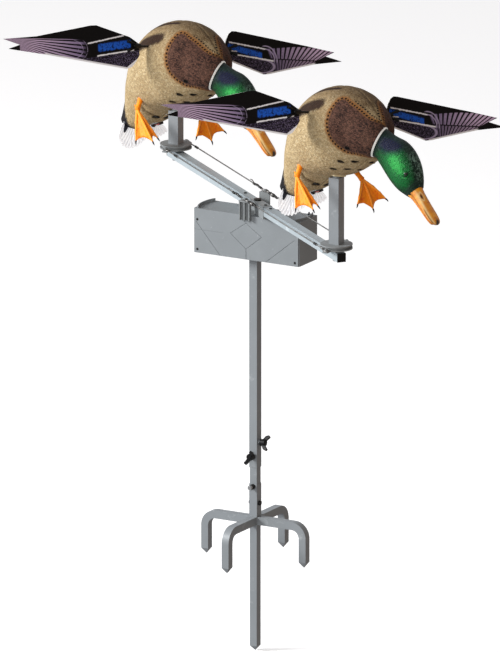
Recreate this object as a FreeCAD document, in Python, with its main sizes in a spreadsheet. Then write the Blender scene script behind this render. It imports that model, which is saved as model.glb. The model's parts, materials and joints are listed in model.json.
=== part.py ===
"""Motorised twin duck decoy: a staked mast carries a gear box, a swinging arm and two spinning-wing ducks.

Millimetres. The origin is on the mast axis at ground level, the underside of the fork's arms. +Z is up and
+X runs along the box's long side. The arm is built along its own axis and turned to its rest angle.
"""
import FreeCAD, Part
import math
import os
import re
import Sketcher
from FreeCAD import Placement, Rotation, Vector

DIMENSIONS = {
    # stand
    "stake_tip": -294, "stake_side": 17.8, "stake_wall": 1.5, "stake_point": 11, "stake_top": 60,
    "leg_side": 18, "leg_wall": 1.5, "leg_reach": 126, "leg_drop": 85.5, "leg_point": 13,
    "leg_bend": 36, "leg_inner_bend": 18,
    "socket_side": 20, "socket_wall": 1, "socket_top": 94, "socket_bolt_z": 49,
    "inner_tube_top": 431, "pin_z": 88, "pin_radius": 3, "collar_radius": 6, "collar_length": 9,
    # mast
    "mast_side": 20, "mast_wall": 1, "mast_low": 131.5, "mast_top": 640,
    "upper_knob_z": 190, "lower_knob_z": 159, "nut_radius": 5, "nut_length": 4,
    "knob_stud": 3, "knob_hub": 8, "knob_hub_length": 12, "knob_wing_span": 36, "knob_wing_thick": 7,
    # box
    "box_long": 271, "box_deep": 82, "box_low": 619.4, "box_high": 721, "box_wall": 3, "cover_thick": 3,
    "lip_height": 6.2, "lip_thick": 2.5, "lip_radius": 98, "lip_crown": 134.8, "lip_half": 38,
    "recess_radius": 32, "screw_in": 10, "screw_low": 8, "screw_high": 25, "screw_radius": 3,
    "groove_wide": 1.4, "groove_deep": 0.7, "tab_y": 46, "tab_wide": 27, "fin_thick": 2.6,
    # swinging arm
    "rest_yaw": -38.36, "pivot_half": 484.2, "arm_end": 515.9, "arm_side": 20, "arm_wall": 2,
    "arm_middle": 738.8, "seam_far": -4, "seam_near": 75, "splice_side": 15.8, "splice_half": 110,
    "hub_radius": 24, "hub_low": 712, "shaft_radius": 8, "shaft_low": 650, "bearing_radius": 14,
    "gear_centres": 37.5, "gear_module": 1, "gear_teeth": 60, "pinion_teeth": 15,
    "gear_low": 690, "gear_thick": 8, "arm_screw_far": -60, "arm_screw_near": 92, "saddle_screw": 62,
    # turntables
    "spacer_height": 4.4, "disc_radius": 36, "disc_thick": 11, "flange": 3, "groove_radius": 30,
    "axle_radius": 5, "fit_gap": 0.05, "lug_offset": 46, "lug_pin": 3,
    "post_side": 25, "post_wall": 2, "near_post_top": 918, "far_post_top": 844,
    "cable_radius": 1.6, "cable_z": 758.7, "eyelet_radius": 6.5, "eyelet_thick": 4,
    # ducks
    "duck_heading": -30, "duck_bank": -9, "shell_wall": 3, "wing_shaft_x": -10, "wing_shaft_z": 138,
    "wing_shaft_radius": 2.5, "wing_root": 118, "wing_thick": 2.4, "wing_drop": 9,
}

AXES = {"x": Rotation(Vector(0, 1, 0), 90), "y": Rotation(Vector(1, 0, 0), -90), "z": Rotation()}

doc = FreeCAD.newDocument("duck_decoy")
sheet = doc.addObject("Spreadsheet::Sheet", "Sizes")
for row, (alias, number) in enumerate(DIMENSIONS.items(), 1):
    sheet.set(f"A{row}", alias)
    sheet.set(f"B{row}", str(number))
    sheet.setAlias(f"B{row}", alias)
doc.recompute()

WORDS = re.compile(r"[a-z]+(?:_[a-z]+)*")
nodes = {}


def formula(text):
    """Turn words of the sheet into references to its cells."""
    def reference(match):
        word = match.group(0)
        return f"Sizes.{word}" if word in DIMENSIONS else word
    return WORDS.sub(reference, str(text))


def size(text):
    """The number that a formula gives now."""
    return float(sheet.evalExpression(formula(text)))


def bind(thing, **formulas):
    for path, text in formulas.items():
        thing.setExpression(path, formula(text))
    return thing


def move(thing, at=(0, 0, 0), rotation=None):
    """Give a thing its placement, its three coordinates bound to the sheet."""
    thing.Placement = Placement(Vector(), rotation or Rotation())
    for letter, text in zip("xyz", at):
        thing.setExpression(f"Placement.Base.{letter}", formula(text))
    return thing


def node(label, thing):
    """Name a finished sub-part, which is written to a file of that name."""
    thing.Label = label
    nodes[label] = thing
    return thing


def box(name, sizes, centre, rotation=None):
    """A block given by its three sizes and its centre; a turned block turns about that centre."""
    thing = doc.addObject("Part::Box", name)
    bind(thing, Length=sizes[0], Width=sizes[1], Height=sizes[2])
    if rotation is None:
        return move(thing, [f"({middle}) - ({length}) / 2" for middle, length in zip(centre, sizes)])
    half = rotation.multVec(Vector(*[size(length) / 2 for length in sizes]))
    return move(thing, [f"({middle}) - ({offset:.5f})" for middle, offset in zip(centre, half)], rotation)


def rod(name, radius, length, start, along="z"):
    thing = doc.addObject("Part::Cylinder", name)
    bind(thing, Radius=radius, Height=length)
    return move(thing, start, AXES[along])


def ring(name, inner, outer, height, low, at=("0", "0")):
    """A plain ring about a vertical axis."""
    start = (at[0], at[1], low)
    return cut(name, rod(name + "_outside", outer, height, start), rod(name + "_bore", inner, height, start))


def point(name, side, length, base_z, at=("0", "0")):
    """A four-sided point that hangs below base_z."""
    thing = doc.addObject("Part::Wedge", name)
    bind(thing, Xmin="0", Ymin="0", Zmin="0", X2min=f"{side} / 2 - 0.4", Z2min=f"{side} / 2 - 0.4",
         Xmax=side, Ymax=length, Zmax=side, X2max=f"{side} / 2 + 0.4", Z2max=f"{side} / 2 + 0.4")
    corner = (f"{at[0]} - {side} / 2", f"{at[1]} - {side} / 2", base_z)
    return move(thing, corner, Rotation(Vector(1, 0, 0), -90))


def fuse(name, *things):
    thing = doc.addObject("Part::MultiFuse", name)
    thing.Shapes = list(things)
    return thing


def cut(name, base, *tools):
    thing = doc.addObject("Part::Cut", name)
    thing.Base = base
    thing.Tool = tools[0] if len(tools) == 1 else fuse(name + "_tools", *tools)
    return thing


def common(name, base, tool):
    thing = doc.addObject("Part::Common", name)
    thing.Base, thing.Tool = base, tool
    return thing


def gather(name, *things):
    """Keep separate solids together as one sub-part."""
    thing = doc.addObject("Part::Compound", name)
    thing.Links = list(things)
    return thing


def sketch_on(body, role, name):
    plane = next(part for part in body.Origin.OriginFeatures if part.Role == role)
    sketch = body.newObject("Sketcher::SketchObject", name)
    sketch.AttachmentSupport = (plane, [""])
    sketch.MapMode = "FlatFace"
    return sketch


def draw(sketch, corners):
    """Draw a closed outline, each corner held at its two formulas from the sketch's origin."""
    places = [Vector(size(across), size(up), 0) for across, up in corners]
    first = sketch.GeometryCount
    for start, end in zip(places, places[1:] + places[:1]):
        sketch.addGeometry(Part.LineSegment(start, end), False)
    count = len(corners)
    for index, (across, up) in enumerate(corners):
        this, last = first + index, first + (index - 1) % count
        sketch.addConstraint(Sketcher.Constraint("Coincident", last, 2, this, 1))
        for kind, value, text in (("DistanceX", places[index].x, across), ("DistanceY", places[index].y, up)):
            held = sketch.addConstraint(Sketcher.Constraint(kind, -1, 1, this, 1, value))
            sketch.setExpression(f"Constraints[{held}]", formula(text))
    return sketch


def draw_circle(sketch, radius):
    circle = sketch.addGeometry(Part.Circle(Vector(), Vector(0, 0, 1), size(radius)), False)
    sketch.addConstraint(Sketcher.Constraint("Coincident", circle, 3, -1, 1))
    held = sketch.addConstraint(Sketcher.Constraint("Radius", circle, size(radius)))
    sketch.setExpression(f"Constraints[{held}]", formula(radius))
    return sketch


def pad(body, sketch, length, midplane=False):
    feature = body.newObject("PartDesign::Pad", sketch.Name + "_pad")
    feature.Profile = sketch
    feature.Midplane = midplane
    bind(feature, Length=length)
    return feature


def plate(name, corners, thickness, role="XY_Plane", midplane=True, holes=()):
    """A flat piece: an outline, with any inner outlines, padded to a thickness."""
    body = doc.addObject("PartDesign::Body", name)
    sketch = draw(sketch_on(body, role, name + "_outline"), corners)
    for hole in holes:
        draw(sketch, hole)
    pad(body, sketch, thickness, midplane)
    return body


def turned(name, corners, at=("0", "0", "0")):
    """A lathe-turned piece about a vertical axis: corners are (radius, height)."""
    body = doc.addObject("PartDesign::Body", name)
    sketch = draw(sketch_on(body, "XZ_Plane", name + "_profile"), corners)
    feature = body.newObject("PartDesign::Revolution", name + "_turn")
    feature.Profile = sketch
    feature.ReferenceAxis = (sketch, ["V_Axis"])
    feature.Angle = 360
    return move(body, at)


def square(side):
    half = f"({side}) / 2"
    return [(f"-{half}", f"-{half}"), (half, f"-{half}"), (half, half), (f"-{half}", half)]


def square_tube(name, side, wall, low, high, at=("0", "0")):
    body = plate(name, square(side), f"{high} - ({low})", midplane=False,
                 holes=[square(f"{side} - 2 * {wall}")])
    return move(body, (at[0], at[1], low))


# ---- stand ------------------------------------------------------------------------------------------

def elbow(name, inset):
    """One leg's bent bar, arm out and drop down, shrunk on every side by inset."""
    half = f"(leg_side / 2 - {inset})"
    middle = "leg_side / 2"
    body = plate(name, [
        ("socket_side / 2", f"{middle} - {half}"), (f"leg_reach - {half}", f"{middle} - {half}"),
        (f"leg_reach - {half}", "-(leg_drop - leg_point)"),
        (f"leg_reach + {half}", "-(leg_drop - leg_point)"),
        (f"leg_reach + {half}", f"{middle} + {half}"), ("socket_side / 2", f"{middle} + {half}"),
    ], f"2 * {half}", role="XZ_Plane")
    doc.recompute()
    corners = {
        "outer": (size(f"leg_reach + {half}"), size(f"{middle} + {half}"), f"leg_bend - {inset}"),
        "inner": (size(f"leg_reach - {half}"), size(f"{middle} - {half}"), f"leg_inner_bend + {inset}"),
    }
    for word, (across, up, radius) in corners.items():
        edges = [f"Edge{number}" for number, edge in enumerate(body.Shape.Edges, 1)
                 if abs(edge.CenterOfMass.x - across) < 0.01 and abs(edge.CenterOfMass.z - up) < 0.01]
        sharp = body.Tip
        rounding = body.newObject("PartDesign::Fillet", f"{name}_{word}_bend")
        rounding.Base = (sharp, edges)
        bind(rounding, Radius=radius)
        doc.recompute()
    return body


def stand():
    tube = square_tube("stake_tube", "stake_side", "stake_wall", "stake_tip + stake_point", "stake_top")
    tip = point("stake_tip_point", "stake_side", "stake_point", "stake_tip + stake_point")
    across = rod("stake_bolt_hole", "pin_radius + fit_gap", "60", ("-30", "0", "socket_bolt_z"), "x")
    node("ground_stake", cut("stake_drilled", fuse("stake_whole", tube, tip), across))

    legs = []
    bar = cut("leg_bar", elbow("leg_outside", "0"), elbow("leg_inside", "leg_wall"))
    leg = fuse("leg_whole", bar, point("leg_tip", "leg_side", "leg_point", "-(leg_drop - leg_point)",
                                       ("leg_reach", "0")))
    for index, side in enumerate(("right", "back", "left", "front")):
        turned_leg = gather(f"leg_{side}", leg)
        turned_leg.Placement = Placement(Vector(), Rotation(Vector(0, 0, 1), 90 * index))
        legs.append(turned_leg)
    node("fork_legs", gather("legs", *legs))

    socket = square_tube("socket_tube", "socket_side", "socket_wall", "0", "socket_top")
    bolt_hole = rod("socket_bolt_hole", "pin_radius + fit_gap", "60", ("-30", "0", "socket_bolt_z"), "x")
    pin_hole = rod("socket_pin_hole", "pin_radius + fit_gap", "20", ("0", "-20", "pin_z"), "y")
    node("fork_socket", cut("socket_drilled", socket, bolt_hole, pin_hole))

    inner = square_tube("inner_tube_stock", "stake_side", "stake_wall", "stake_top + 0.5", "inner_tube_top")
    inner_hole = rod("inner_pin_hole", "pin_radius + fit_gap", "20", ("0", "-20", "pin_z"), "y")
    node("inner_tube", cut("inner_tube_drilled", inner, inner_hole))

    shank = rod("bolt_shank", "pin_radius", "socket_side + 9",
                ("-socket_side / 2 - 5", "0", "socket_bolt_z"), "x")
    head = rod("bolt_head", "5.5", "4", ("socket_side / 2", "0", "socket_bolt_z"), "x")
    nut = rod("bolt_nut", "5", "4.5", ("-socket_side / 2 - 4.5", "0", "socket_bolt_z"), "x")
    leg_screw = rod("leg_screw_head", "4", "3", ("0", "-24", "-3"))
    collar = rod("pin_collar_outside", "collar_radius", "collar_length",
                 ("0", "-socket_side / 2 - collar_length", "pin_z"), "y")
    collar_bore = rod("pin_collar_bore", "pin_radius + fit_gap", "collar_length",
                      ("0", "-socket_side / 2 - collar_length", "pin_z"), "y")
    node("stand_fasteners", gather("fasteners", fuse("socket_bolt", shank, head, nut), leg_screw,
                                   cut("pin_collar", collar, collar_bore)))

    plunger = rod("pin_plunger", "pin_radius", "collar_length + 6",
                  ("0", "-socket_side / 2 - collar_length - 2", "pin_z"), "y")
    grip = rod("pin_grip", "5", "6", ("0", "-socket_side / 2 - collar_length - 7", "pin_z"), "y")
    node("pull_pin", fuse("pull_pin_whole", plunger, grip))


def wing_knob(label, z, rotation):
    """A two-winged clamp knob with its stud, built along +X and turned onto its face of the mast."""
    face = "mast_side / 2 + nut_length + 0.5"
    stud = rod(label + "_stud", "knob_stud", "nut_length + 3.5", ("mast_side / 2 - 1", "0", "0"), "x")
    hub = rod(label + "_hub", "knob_hub", "knob_hub_length", (face, "0", "0"), "x")
    half = "knob_wing_span / 2"
    wings = move(plate(label + "_wings", [
        (f"{face} + 4", "-6"), (f"{face} + 11", f"-({half} - 2)"), (f"{face} + 17", f"-({half})"),
        (f"{face} + 20", f"-({half} - 4)"), (f"{face} + 13", "-6"), (f"{face} + 13", "6"),
        (f"{face} + 20", f"{half} - 4"), (f"{face} + 17", half), (f"{face} + 11", f"{half} - 2"),
        (f"{face} + 4", "6"),
    ], "knob_wing_thick"), rotation=Rotation(Vector(1, 0, 0), 62))
    whole = fuse(label + "_whole", stud, hub, wings)
    return node(label, move(gather(label + "_turned", whole), ("0", "0", z), rotation))


def mast():
    tube = square_tube("mast_stock", "mast_side", "mast_wall", "mast_low", "mast_top")
    upper_hole = rod("mast_upper_hole", "knob_stud + fit_gap", "20", ("0", "0", "upper_knob_z"), "x")
    lower_hole = rod("mast_lower_hole", "knob_stud + fit_gap", "20", ("0", "-20", "lower_knob_z"), "y")
    upper_nut = rod("upper_nut", "nut_radius", "nut_length", ("mast_side / 2", "0", "upper_knob_z"), "x")
    lower_nut = rod("lower_nut", "nut_radius", "nut_length",
                    ("0", "-mast_side / 2 - nut_length", "lower_knob_z"), "y")
    node("mast_tube", cut("mast_drilled", fuse("mast_with_nuts", tube, upper_nut, lower_nut),
                          upper_hole, lower_hole))
    wing_knob("upper_knob", "upper_knob_z", Rotation())
    wing_knob("lower_knob", "lower_knob_z", Rotation(Vector(0, 0, 1), -90))


# ---- gear box ---------------------------------------------------------------------------------------

def end_lip(name, side):
    """The raised curved lip across one end of the box's top."""
    centre = f"{side} * (lip_crown - lip_radius)"
    arc = ring(name + "_ring", "lip_radius - lip_thick", "lip_radius", "lip_height", "box_high",
               (centre, "0"))
    keep = box(name + "_keep", ("40", "2 * lip_half", "lip_height"),
               (f"{side} * (lip_crown - 12)", "0", "box_high + lip_height / 2"))
    return common(name, arc, keep)


def box_shell():
    middle_z = "(box_low + box_high) / 2"
    tall = "(box_high - box_low)"
    inner_deep = "box_deep - cover_thick"
    outside = box("box_outside", ("box_long", inner_deep, tall), ("0", "cover_thick / 2", middle_z))
    room = ("box_long - 2 * box_wall", "box_deep - box_wall + 1", f"{tall} - 2 * box_wall")
    inside = box("box_inside", room, ("0", "-box_wall / 2 - 0.5", middle_z))
    foot = rod("box_foot", "20", "40", ("0", "0", "box_low"))
    collar = rod("box_collar", "bearing_radius + 4", "box_high - 699 - box_wall", ("0", "0", "699"))
    mast_hole = box("box_mast_hole", ("mast_side", "mast_side", "mast_top - box_low"),
                    ("0", "0", "(mast_top + box_low) / 2"))
    lower_seat = rod("box_lower_seat", "bearing_radius", "12", ("0", "0", "shaft_low"))
    shaft_way = rod("box_shaft_way", "shaft_radius + 1", "box_high - mast_top", ("0", "0", "mast_top"))
    upper_seat = rod("box_upper_seat", "bearing_radius", "8", ("0", "0", "699"))
    recess = rod("box_recess", "recess_radius", "box_high - 711", ("0", "0", "711"))
    deck = rod("box_recess_floor", "recess_radius + 3", "box_high - 707", ("0", "0", "707"))
    switch_way = box("box_switch_way", ("13.4", "20", "19.4"), ("-80", "box_deep / 2", "670"))
    solid = fuse("box_solid", cut("box_hollow", outside, inside), foot, collar, deck)
    opened = cut("box_opened", solid, mast_hole, lower_seat, shaft_way, upper_seat, recess, switch_way)
    lips = [end_lip("right_lip", "1"), end_lip("left_lip", "-1")]
    node("box_housing", fuse("box_whole", opened, *lips))


def cover_groove(name, start, end):
    """A straight groove in the cover's face, from one (x, z) to another."""
    (x0, z0), (x1, z1) = [(size(x), size(z)) for x, z in (start, end)]
    length = math.hypot(x1 - x0, z1 - z0)
    turn = Rotation(Vector(0, 1, 0), -math.degrees(math.atan2(z1 - z0, x1 - x0)))
    centre = (f"({start[0]} + {end[0]}) / 2", "-box_deep / 2", f"({start[1]} + {end[1]}) / 2")
    return box(name, (f"{length:.4f}", "2 * groove_deep", "groove_wide"), centre, turn)


def screw_places():
    return [(f"{side} * (box_long / 2 - screw_in)", height)
            for side in (-1, 1) for height in ("box_low + screw_low", "box_high - screw_high")]


def front_cover():
    slab = box("cover_slab", ("box_long - 4", "cover_thick", "box_high - box_low"),
               ("0", "-box_deep / 2 + cover_thick / 2", "(box_low + box_high) / 2"))
    grooves = [
        cover_groove("groove_left", ("-128", "box_high - 30"), ("-66", "box_low")),
        cover_groove("groove_right", ("124", "box_high - 42"), ("50", "box_low")),
        cover_groove("groove_middle", ("0", "box_low"), ("0", "box_low + 24")),
        cover_groove("groove_across", ("-133", "box_high - 48"), ("-60", "box_high - 48")),
        cover_groove("groove_leaf_one", ("-40", "box_low + 56"), ("0", "box_high - 18")),
        cover_groove("groove_leaf_two", ("40", "box_low + 56"), ("0", "box_high - 18")),
        cover_groove("groove_leaf_three", ("-40", "box_low + 56"), ("0", "box_low + 24")),
        cover_groove("groove_leaf_four", ("40", "box_low + 56"), ("0", "box_low + 24")),
    ]
    holes = [rod(f"cover_hole_{index}", "screw_radius", "cover_thick + 2", (x, "-box_deep / 2 - 1", z), "y")
             for index, (x, z) in enumerate(screw_places())]
    node("front_cover", cut("cover_cut", slab, *grooves, *holes))
    heads = [rod(f"cover_screw_{index}", "screw_radius - fit_gap", "cover_thick - 0.8",
                 (x, "-box_deep / 2 + 0.8", z), "y")
             for index, (x, z) in enumerate(screw_places())]
    node("cover_screws", gather("cover_screw_set", *heads))


def cable_tab(label, side, fins):
    """A cable anchor on one face of the box: a web, a top bridge with a pin, and fins where it has them."""
    face = f"{side} * box_deep / 2"
    low, top = "box_high - 10", "cable_z - eyelet_thick / 2 - 0.5"
    web = box(label + "_web", ("tab_wide", "2.5", f"{top} - ({low})"),
              ("0", f"{face} + {side} * 1.25", f"({top} + {low}) / 2"))
    bridge = box(label + "_bridge", ("tab_wide", "10", "3"), ("0", f"{face} + {side} * 5", f"{top} - 1.5"))
    pin = rod(label + "_pin", "lug_pin", "eyelet_thick + 2", ("0", f"{side} * tab_y", top))
    pieces = [web, bridge, pin]
    if fins:
        pieces += [box(f"{label}_fin_{index}", ("fin_thick", "9", f"{top} - ({low})"),
                       (f"{index} * (tab_wide - fin_thick) / 2", f"{face} + {side} * 4.5",
                        f"({top} + {low}) / 2"))
                   for index in (-1, 0, 1)]
    node(label, fuse(label + "_whole", *pieces))


def gear(label, teeth, low, shaft_bore, at):
    """A spur gear with straight-sided teeth, cut thin enough to run freely."""
    pitch = f"gear_module * {teeth} / 2"
    body = doc.addObject("PartDesign::Body", label + "_body")
    blank = draw_circle(sketch_on(body, "XY_Plane", label + "_blank"), f"{pitch} - 1.1 * gear_module")
    pad(body, blank, "gear_thick")
    root, crest = f"{pitch} - 1.6 * gear_module", f"{pitch} + 0.75 * gear_module"
    root_half, crest_half = "0.9 * gear_module", "0.28 * gear_module"
    tooth_sketch = draw(sketch_on(body, "XY_Plane", label + "_tooth"), [
        (root, f"-{root_half}"), (root, root_half), (crest, crest_half), (crest, f"-{crest_half}"),
    ])
    tooth = pad(body, tooth_sketch, "gear_thick")
    pattern = body.newObject("PartDesign::PolarPattern", label + "_teeth")
    pattern.Originals = [tooth]
    pattern.Axis = (tooth_sketch, ["N_Axis"])
    pattern.Angle = 360
    bind(pattern, Occurrences=teeth)
    body.Tip = pattern
    move(body, (at, "0", low))
    if shaft_bore is None:
        return body
    return cut(label + "_bored", body, rod(label + "_bore", shaft_bore, "gear_thick", (at, "0", low)))


def box_contents():
    motor_base = "box_low + box_wall"
    foot = box("motor_foot", ("44", "44", "2"), ("gear_centres + 4", "0", f"{motor_base} + 1"))
    can = rod("motor_can", "16", "42", ("gear_centres", "0", f"{motor_base} + 2"))
    head = rod("motor_head", "15.5", "18", ("gear_centres", "0", f"{motor_base} + 44"))
    way = rod("motor_shaft_way", "3 + fit_gap", "6", ("gear_centres", "0", f"{motor_base} + 56"))
    mast_side = rod("motor_mast_way", "20.5", "60", ("0", "0", motor_base))
    node("gearmotor", cut("gearmotor_whole", fuse("gearmotor_solid", foot, can, head), way, mast_side))
    cells = [rod(f"battery_cell_{row}_{column}", "9", "65",
                 ("-115", f"{column} * 8.8", f"{motor_base} + 13.6 + {row} * 17.6"), "x")
             for row in (0, 1) for column in (-1, 1)]
    tray = box("battery_tray", ("70", "44", "4"), ("-82.5", "0", f"{motor_base} + 3"))
    node("battery_pack", fuse("battery_whole", tray, *cells))
    board_y = "box_deep / 2 - box_wall - 6"
    board = box("board_plate", ("64", "1.6", "52"), ("92", board_y, f"{motor_base} + 34"))
    parts = [box(f"board_part_{index}", sizes, (x, f"{board_y} - 0.8 - 4", z))
             for index, (sizes, x, z) in enumerate([
                 (("18", "8", "18"), "78", f"{motor_base} + 44"),
                 (("12", "8", "9"), "104", f"{motor_base} + 22"),
                 (("8", "8", "24"), "114", f"{motor_base} + 42")])]
    posts = box("board_mount", ("40", "5.2", "6"),
                ("92", "box_deep / 2 - box_wall - 2.6", f"{motor_base} + 12"))
    node("control_board", fuse("board_whole", board, posts, *parts))
    races = [ring(f"bearing_{index}", "shaft_radius + fit_gap", "bearing_radius - fit_gap", "7", low)
             for index, low in enumerate(["shaft_low + 1", "699.5"])]
    node("shaft_bearings", gather("bearing_set", *races))
    mast_foot = rod("antenna_foot", "3.5", "2.5", ("118", "35", "box_high"))
    mast_stub = rod("antenna_stub", "1.6", "6.3", ("118", "35", "box_high"))
    node("antenna", fuse("antenna_whole", mast_foot, mast_stub))
    shaft = rod("pinion_shaft", "3", "gear_low + gear_thick - box_low - box_wall - 57",
                ("gear_centres", "0", f"{motor_base} + 57"))
    pinion = gear("pinion", "pinion_teeth", "gear_low", None, "gear_centres")
    node("motor_pinion", fuse("pinion_whole", pinion, shaft))


def rocker(label, pieces, at, rotation):
    """A rocker switch: a slab with a raised pressed end, on its own pivot."""
    long, wide, deep = pieces
    slab = plate(label + "_rocker", [
        (f"-({long}) / 2", f"-({deep})"), (f"({long}) / 2", f"-({deep})"), (f"({long}) / 2", "2.4"),
        ("0", "0.6"), (f"-({long}) / 2", "1.2"),
    ], wide, role="XZ_Plane")
    return move(gather(label, slab), at, rotation)


# ---- swinging arm -----------------------------------------------------------------------------------

def arm_tube(label, low, high):
    half = "arm_side / 2"
    outline = [
        (f"-{half}", f"-{half}"), (half, f"-{half}"), (half, "4"), (f"{half} - 0.9", "4"),
        (f"{half} - 0.9", "5.6"), (half, "5.6"), (half, half), (f"-{half}", half), (f"-{half}", "5.6"),
        (f"-{half} + 0.9", "5.6"), (f"-{half} + 0.9", "4"), (f"-{half}", "4"),
    ]
    tube = plate(label + "_stock", outline, f"{high} - ({low})", role="YZ_Plane", midplane=False,
                 holes=[square("arm_side - 2 * arm_wall")])
    return move(tube, (low, "0", "arm_middle"))


def arm_piece(label, thing):
    """Turn a piece built along the arm's own axis to the rest angle."""
    turned_piece = move(gather(label + "_at_rest", thing))
    turned_piece.Placement = Placement(Vector(), Rotation(Vector(0, 0, 1), size("rest_yaw")))
    turned_piece.setExpression("Placement.Rotation.Angle", formula("-rest_yaw"))
    turned_piece.setExpression("Placement.Rotation.Axis.z", "-1")
    return node(label, turned_piece)


def swinging_arm():
    top, low = "arm_middle + arm_side / 2", "arm_middle - arm_side / 2"
    screw_xs = ("arm_screw_far", "arm_screw_near")
    pivot = [rod(f"arm_pivot_hole_{index}", "axle_radius + fit_gap", "30",
                 (f"{index} * pivot_half", "0", "arm_middle - 15"))
             for index in (-1, 1)]
    screw_holes = [rod(f"arm_screw_hole_{index}", "2", "20", (x, "0", "arm_middle"))
                   for index, x in enumerate(screw_xs)]
    arm_piece("far_arm", cut("far_arm_drilled", arm_tube("far_arm_tube", "-(arm_end - 2.5)", "seam_far"),
                             pivot[0], screw_holes[0]))
    arm_piece("near_arm", cut("near_arm_drilled", arm_tube("near_arm_tube", "seam_near", "arm_end - 2.5"),
                              pivot[1], screw_holes[1]))
    saddle = box("hub_saddle", ("seam_near - seam_far", "22", "28"),
                 ("(seam_near + seam_far) / 2", "0", f"{top} + 1 - 14"))
    splice = box("hub_splice", ("2 * splice_half - 20", "splice_side", "splice_side"),
                 ("10", "0", "arm_middle"))
    boss = rod("hub_boss", "hub_radius", f"{low} - hub_low", ("0", "0", "hub_low"))
    shaft = rod("hub_shaft", "shaft_radius", "hub_low - shaft_low - 1", ("0", "0", "shaft_low + 1"))
    hub_holes = [rod(f"hub_screw_hole_{index}", "2", "20", (x, "0", "arm_middle - 1"))
                 for index, x in enumerate(screw_xs)]
    arm_piece("arm_hub", cut("arm_hub_drilled", fuse("arm_hub_solid", saddle, splice, boss, shaft),
                             *hub_holes))
    node("output_gear", gear("output", "gear_teeth", "gear_low", "shaft_radius + fit_gap", "0"))
    screws = [fuse(f"arm_screw_{index}", rod(f"arm_screw_head_{index}", "3.4", "1.8", (x, "0", top)),
                   rod(f"arm_screw_shank_{index}", "1.95", "12", (x, "0", f"{top} - 10")))
              for index, x in enumerate(screw_xs)]
    small = rod("saddle_screw_head", "3.4", "1.8", ("saddle_screw", "0", f"{top} + 1"))
    bolt = rod("hub_bolt_head", "8", "4", ("14", "0", f"{top} + 1"))
    arm_piece("arm_screws", gather("arm_screw_set", *screws, small, bolt))
    plugs = [fuse(f"plug_{index}",
                  box(f"plug_cap_{index}", ("2.5", "arm_side", "arm_side"),
                      (f"{index} * (arm_end - 1.25)", "0", "arm_middle")),
                  box(f"plug_stub_{index}", ("14", "splice_side", "splice_side"),
                      (f"{index} * (arm_end - 9.5)", "0", "arm_middle")))
             for index in (-1, 1)]
    arm_piece("end_plugs", gather("end_plug_set", *plugs))
    axles = [fuse(f"axle_{index}",
                  rod(f"axle_head_{index}", "8", "4", (f"{index} * pivot_half", "0", f"{low} - 4")),
                  rod(f"axle_pin_{index}", "axle_radius", "arm_side + spacer_height + disc_thick",
                      (f"{index} * pivot_half", "0", low)))
             for index in (-1, 1)]
    arm_piece("disc_axles", gather("disc_axle_set", *axles))
    spacers = [ring(f"spacer_{index}", "axle_radius + fit_gap", "12", "spacer_height", top,
                    (f"{index} * pivot_half", "0")) for index in (-1, 1)]
    arm_piece("disc_spacers", gather("disc_spacer_set", *spacers))


# ---- turntables and cables --------------------------------------------------------------------------

PIVOTS = {"near": 1, "far": -1}


def pivot_at(side):
    """The plan position of one turntable's pivot, as formulas."""
    return (f"{side} * pivot_half * cos(rest_yaw)", f"{side} * pivot_half * sin(rest_yaw)")


def turntable(label, side):
    across, along = pivot_at(side)
    base = "arm_middle + arm_side / 2 + spacer_height"
    disc = turned(label + "_disc_turned", [
        ("axle_radius + fit_gap", "0"), ("disc_radius", "0"), ("disc_radius", "flange"),
        ("groove_radius", "flange"), ("groove_radius", "disc_thick - flange"),
        ("disc_radius", "disc_thick - flange"), ("disc_radius", "disc_thick"),
        ("axle_radius + fit_gap", "disc_thick"),
    ])
    lugs = [box(f"{label}_lug_{index}", ("12", "22", "flange"), ("0", f"{index} * 41", "flange / 2"))
            for index in (-1, 1)]
    pins = [rod(f"{label}_lug_pin_{index}", "lug_pin", "8", ("0", f"{index} * lug_offset", "1.5"))
            for index in (-1, 1)]
    node(f"{label}_disc", move(gather(f"{label}_disc_set", fuse(f"{label}_disc_whole", disc, *lugs, *pins)),
                               (across, along, base)))
    tube = square_tube(f"{label}_post_tube", "post_side", "post_wall", f"{base} + disc_thick",
                       f"{label}_post_top - 9", (across, along))
    cap = box(f"{label}_post_cap", ("post_side", "post_side", "6"), (across, along, f"{label}_post_top - 6"))
    plug = rod(f"{label}_post_plug", "9", "5", (across, along, f"{label}_post_top - 3"))
    node(f"{label}_post", fuse(f"{label}_post_whole", tube, cap, plug))


def cable(label, side):
    """One side's cable: two straight wires, a centre fitting and an eyelet at each end, on one line."""
    eyelets = [ring(f"{label}_eyelet_{index}", "lug_pin + fit_gap", "eyelet_radius", "eyelet_thick",
                    "-eyelet_thick / 2", (f"{index} * pivot_half", "0")) for index in (-1, 0, 1)]
    wires = [rod(f"{label}_wire_{index}", "cable_radius", "pivot_half - 2 * eyelet_radius + 3",
                 (start, "0", "0"), "x")
             for index, start in ((-1, "-pivot_half + eyelet_radius - 1.5"), (1, "eyelet_radius - 1.5"))]
    crimp_starts = ("pivot_half - 72", "18", "44", "-34", "-60", "-pivot_half + 56")
    crimps = [rod(f"{label}_crimp_{index}", "2.9", "16", (start, "0", "0"), "x")
              for index, start in enumerate(crimp_starts)]
    whole = fuse(label + "_whole", *eyelets, *wires, *crimps)
    placed = move(gather(label + "_at_rest", whole))
    placed.Placement = Placement(Vector(0, side * size("tab_y"), size("cable_z")),
                                 Rotation(Vector(0, 0, 1), size("rest_yaw")))
    placed.setExpression("Placement.Base.y", formula(f"{side} * tab_y"))
    placed.setExpression("Placement.Base.z", formula("cable_z"))
    node(label, placed)


# ---- ducks ------------------------------------------------------------------------------------------
# A duck is modelled once in its own frame, its origin on top of its post: +X to the breast, +Y to its left.

duck_pieces = {}


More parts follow.
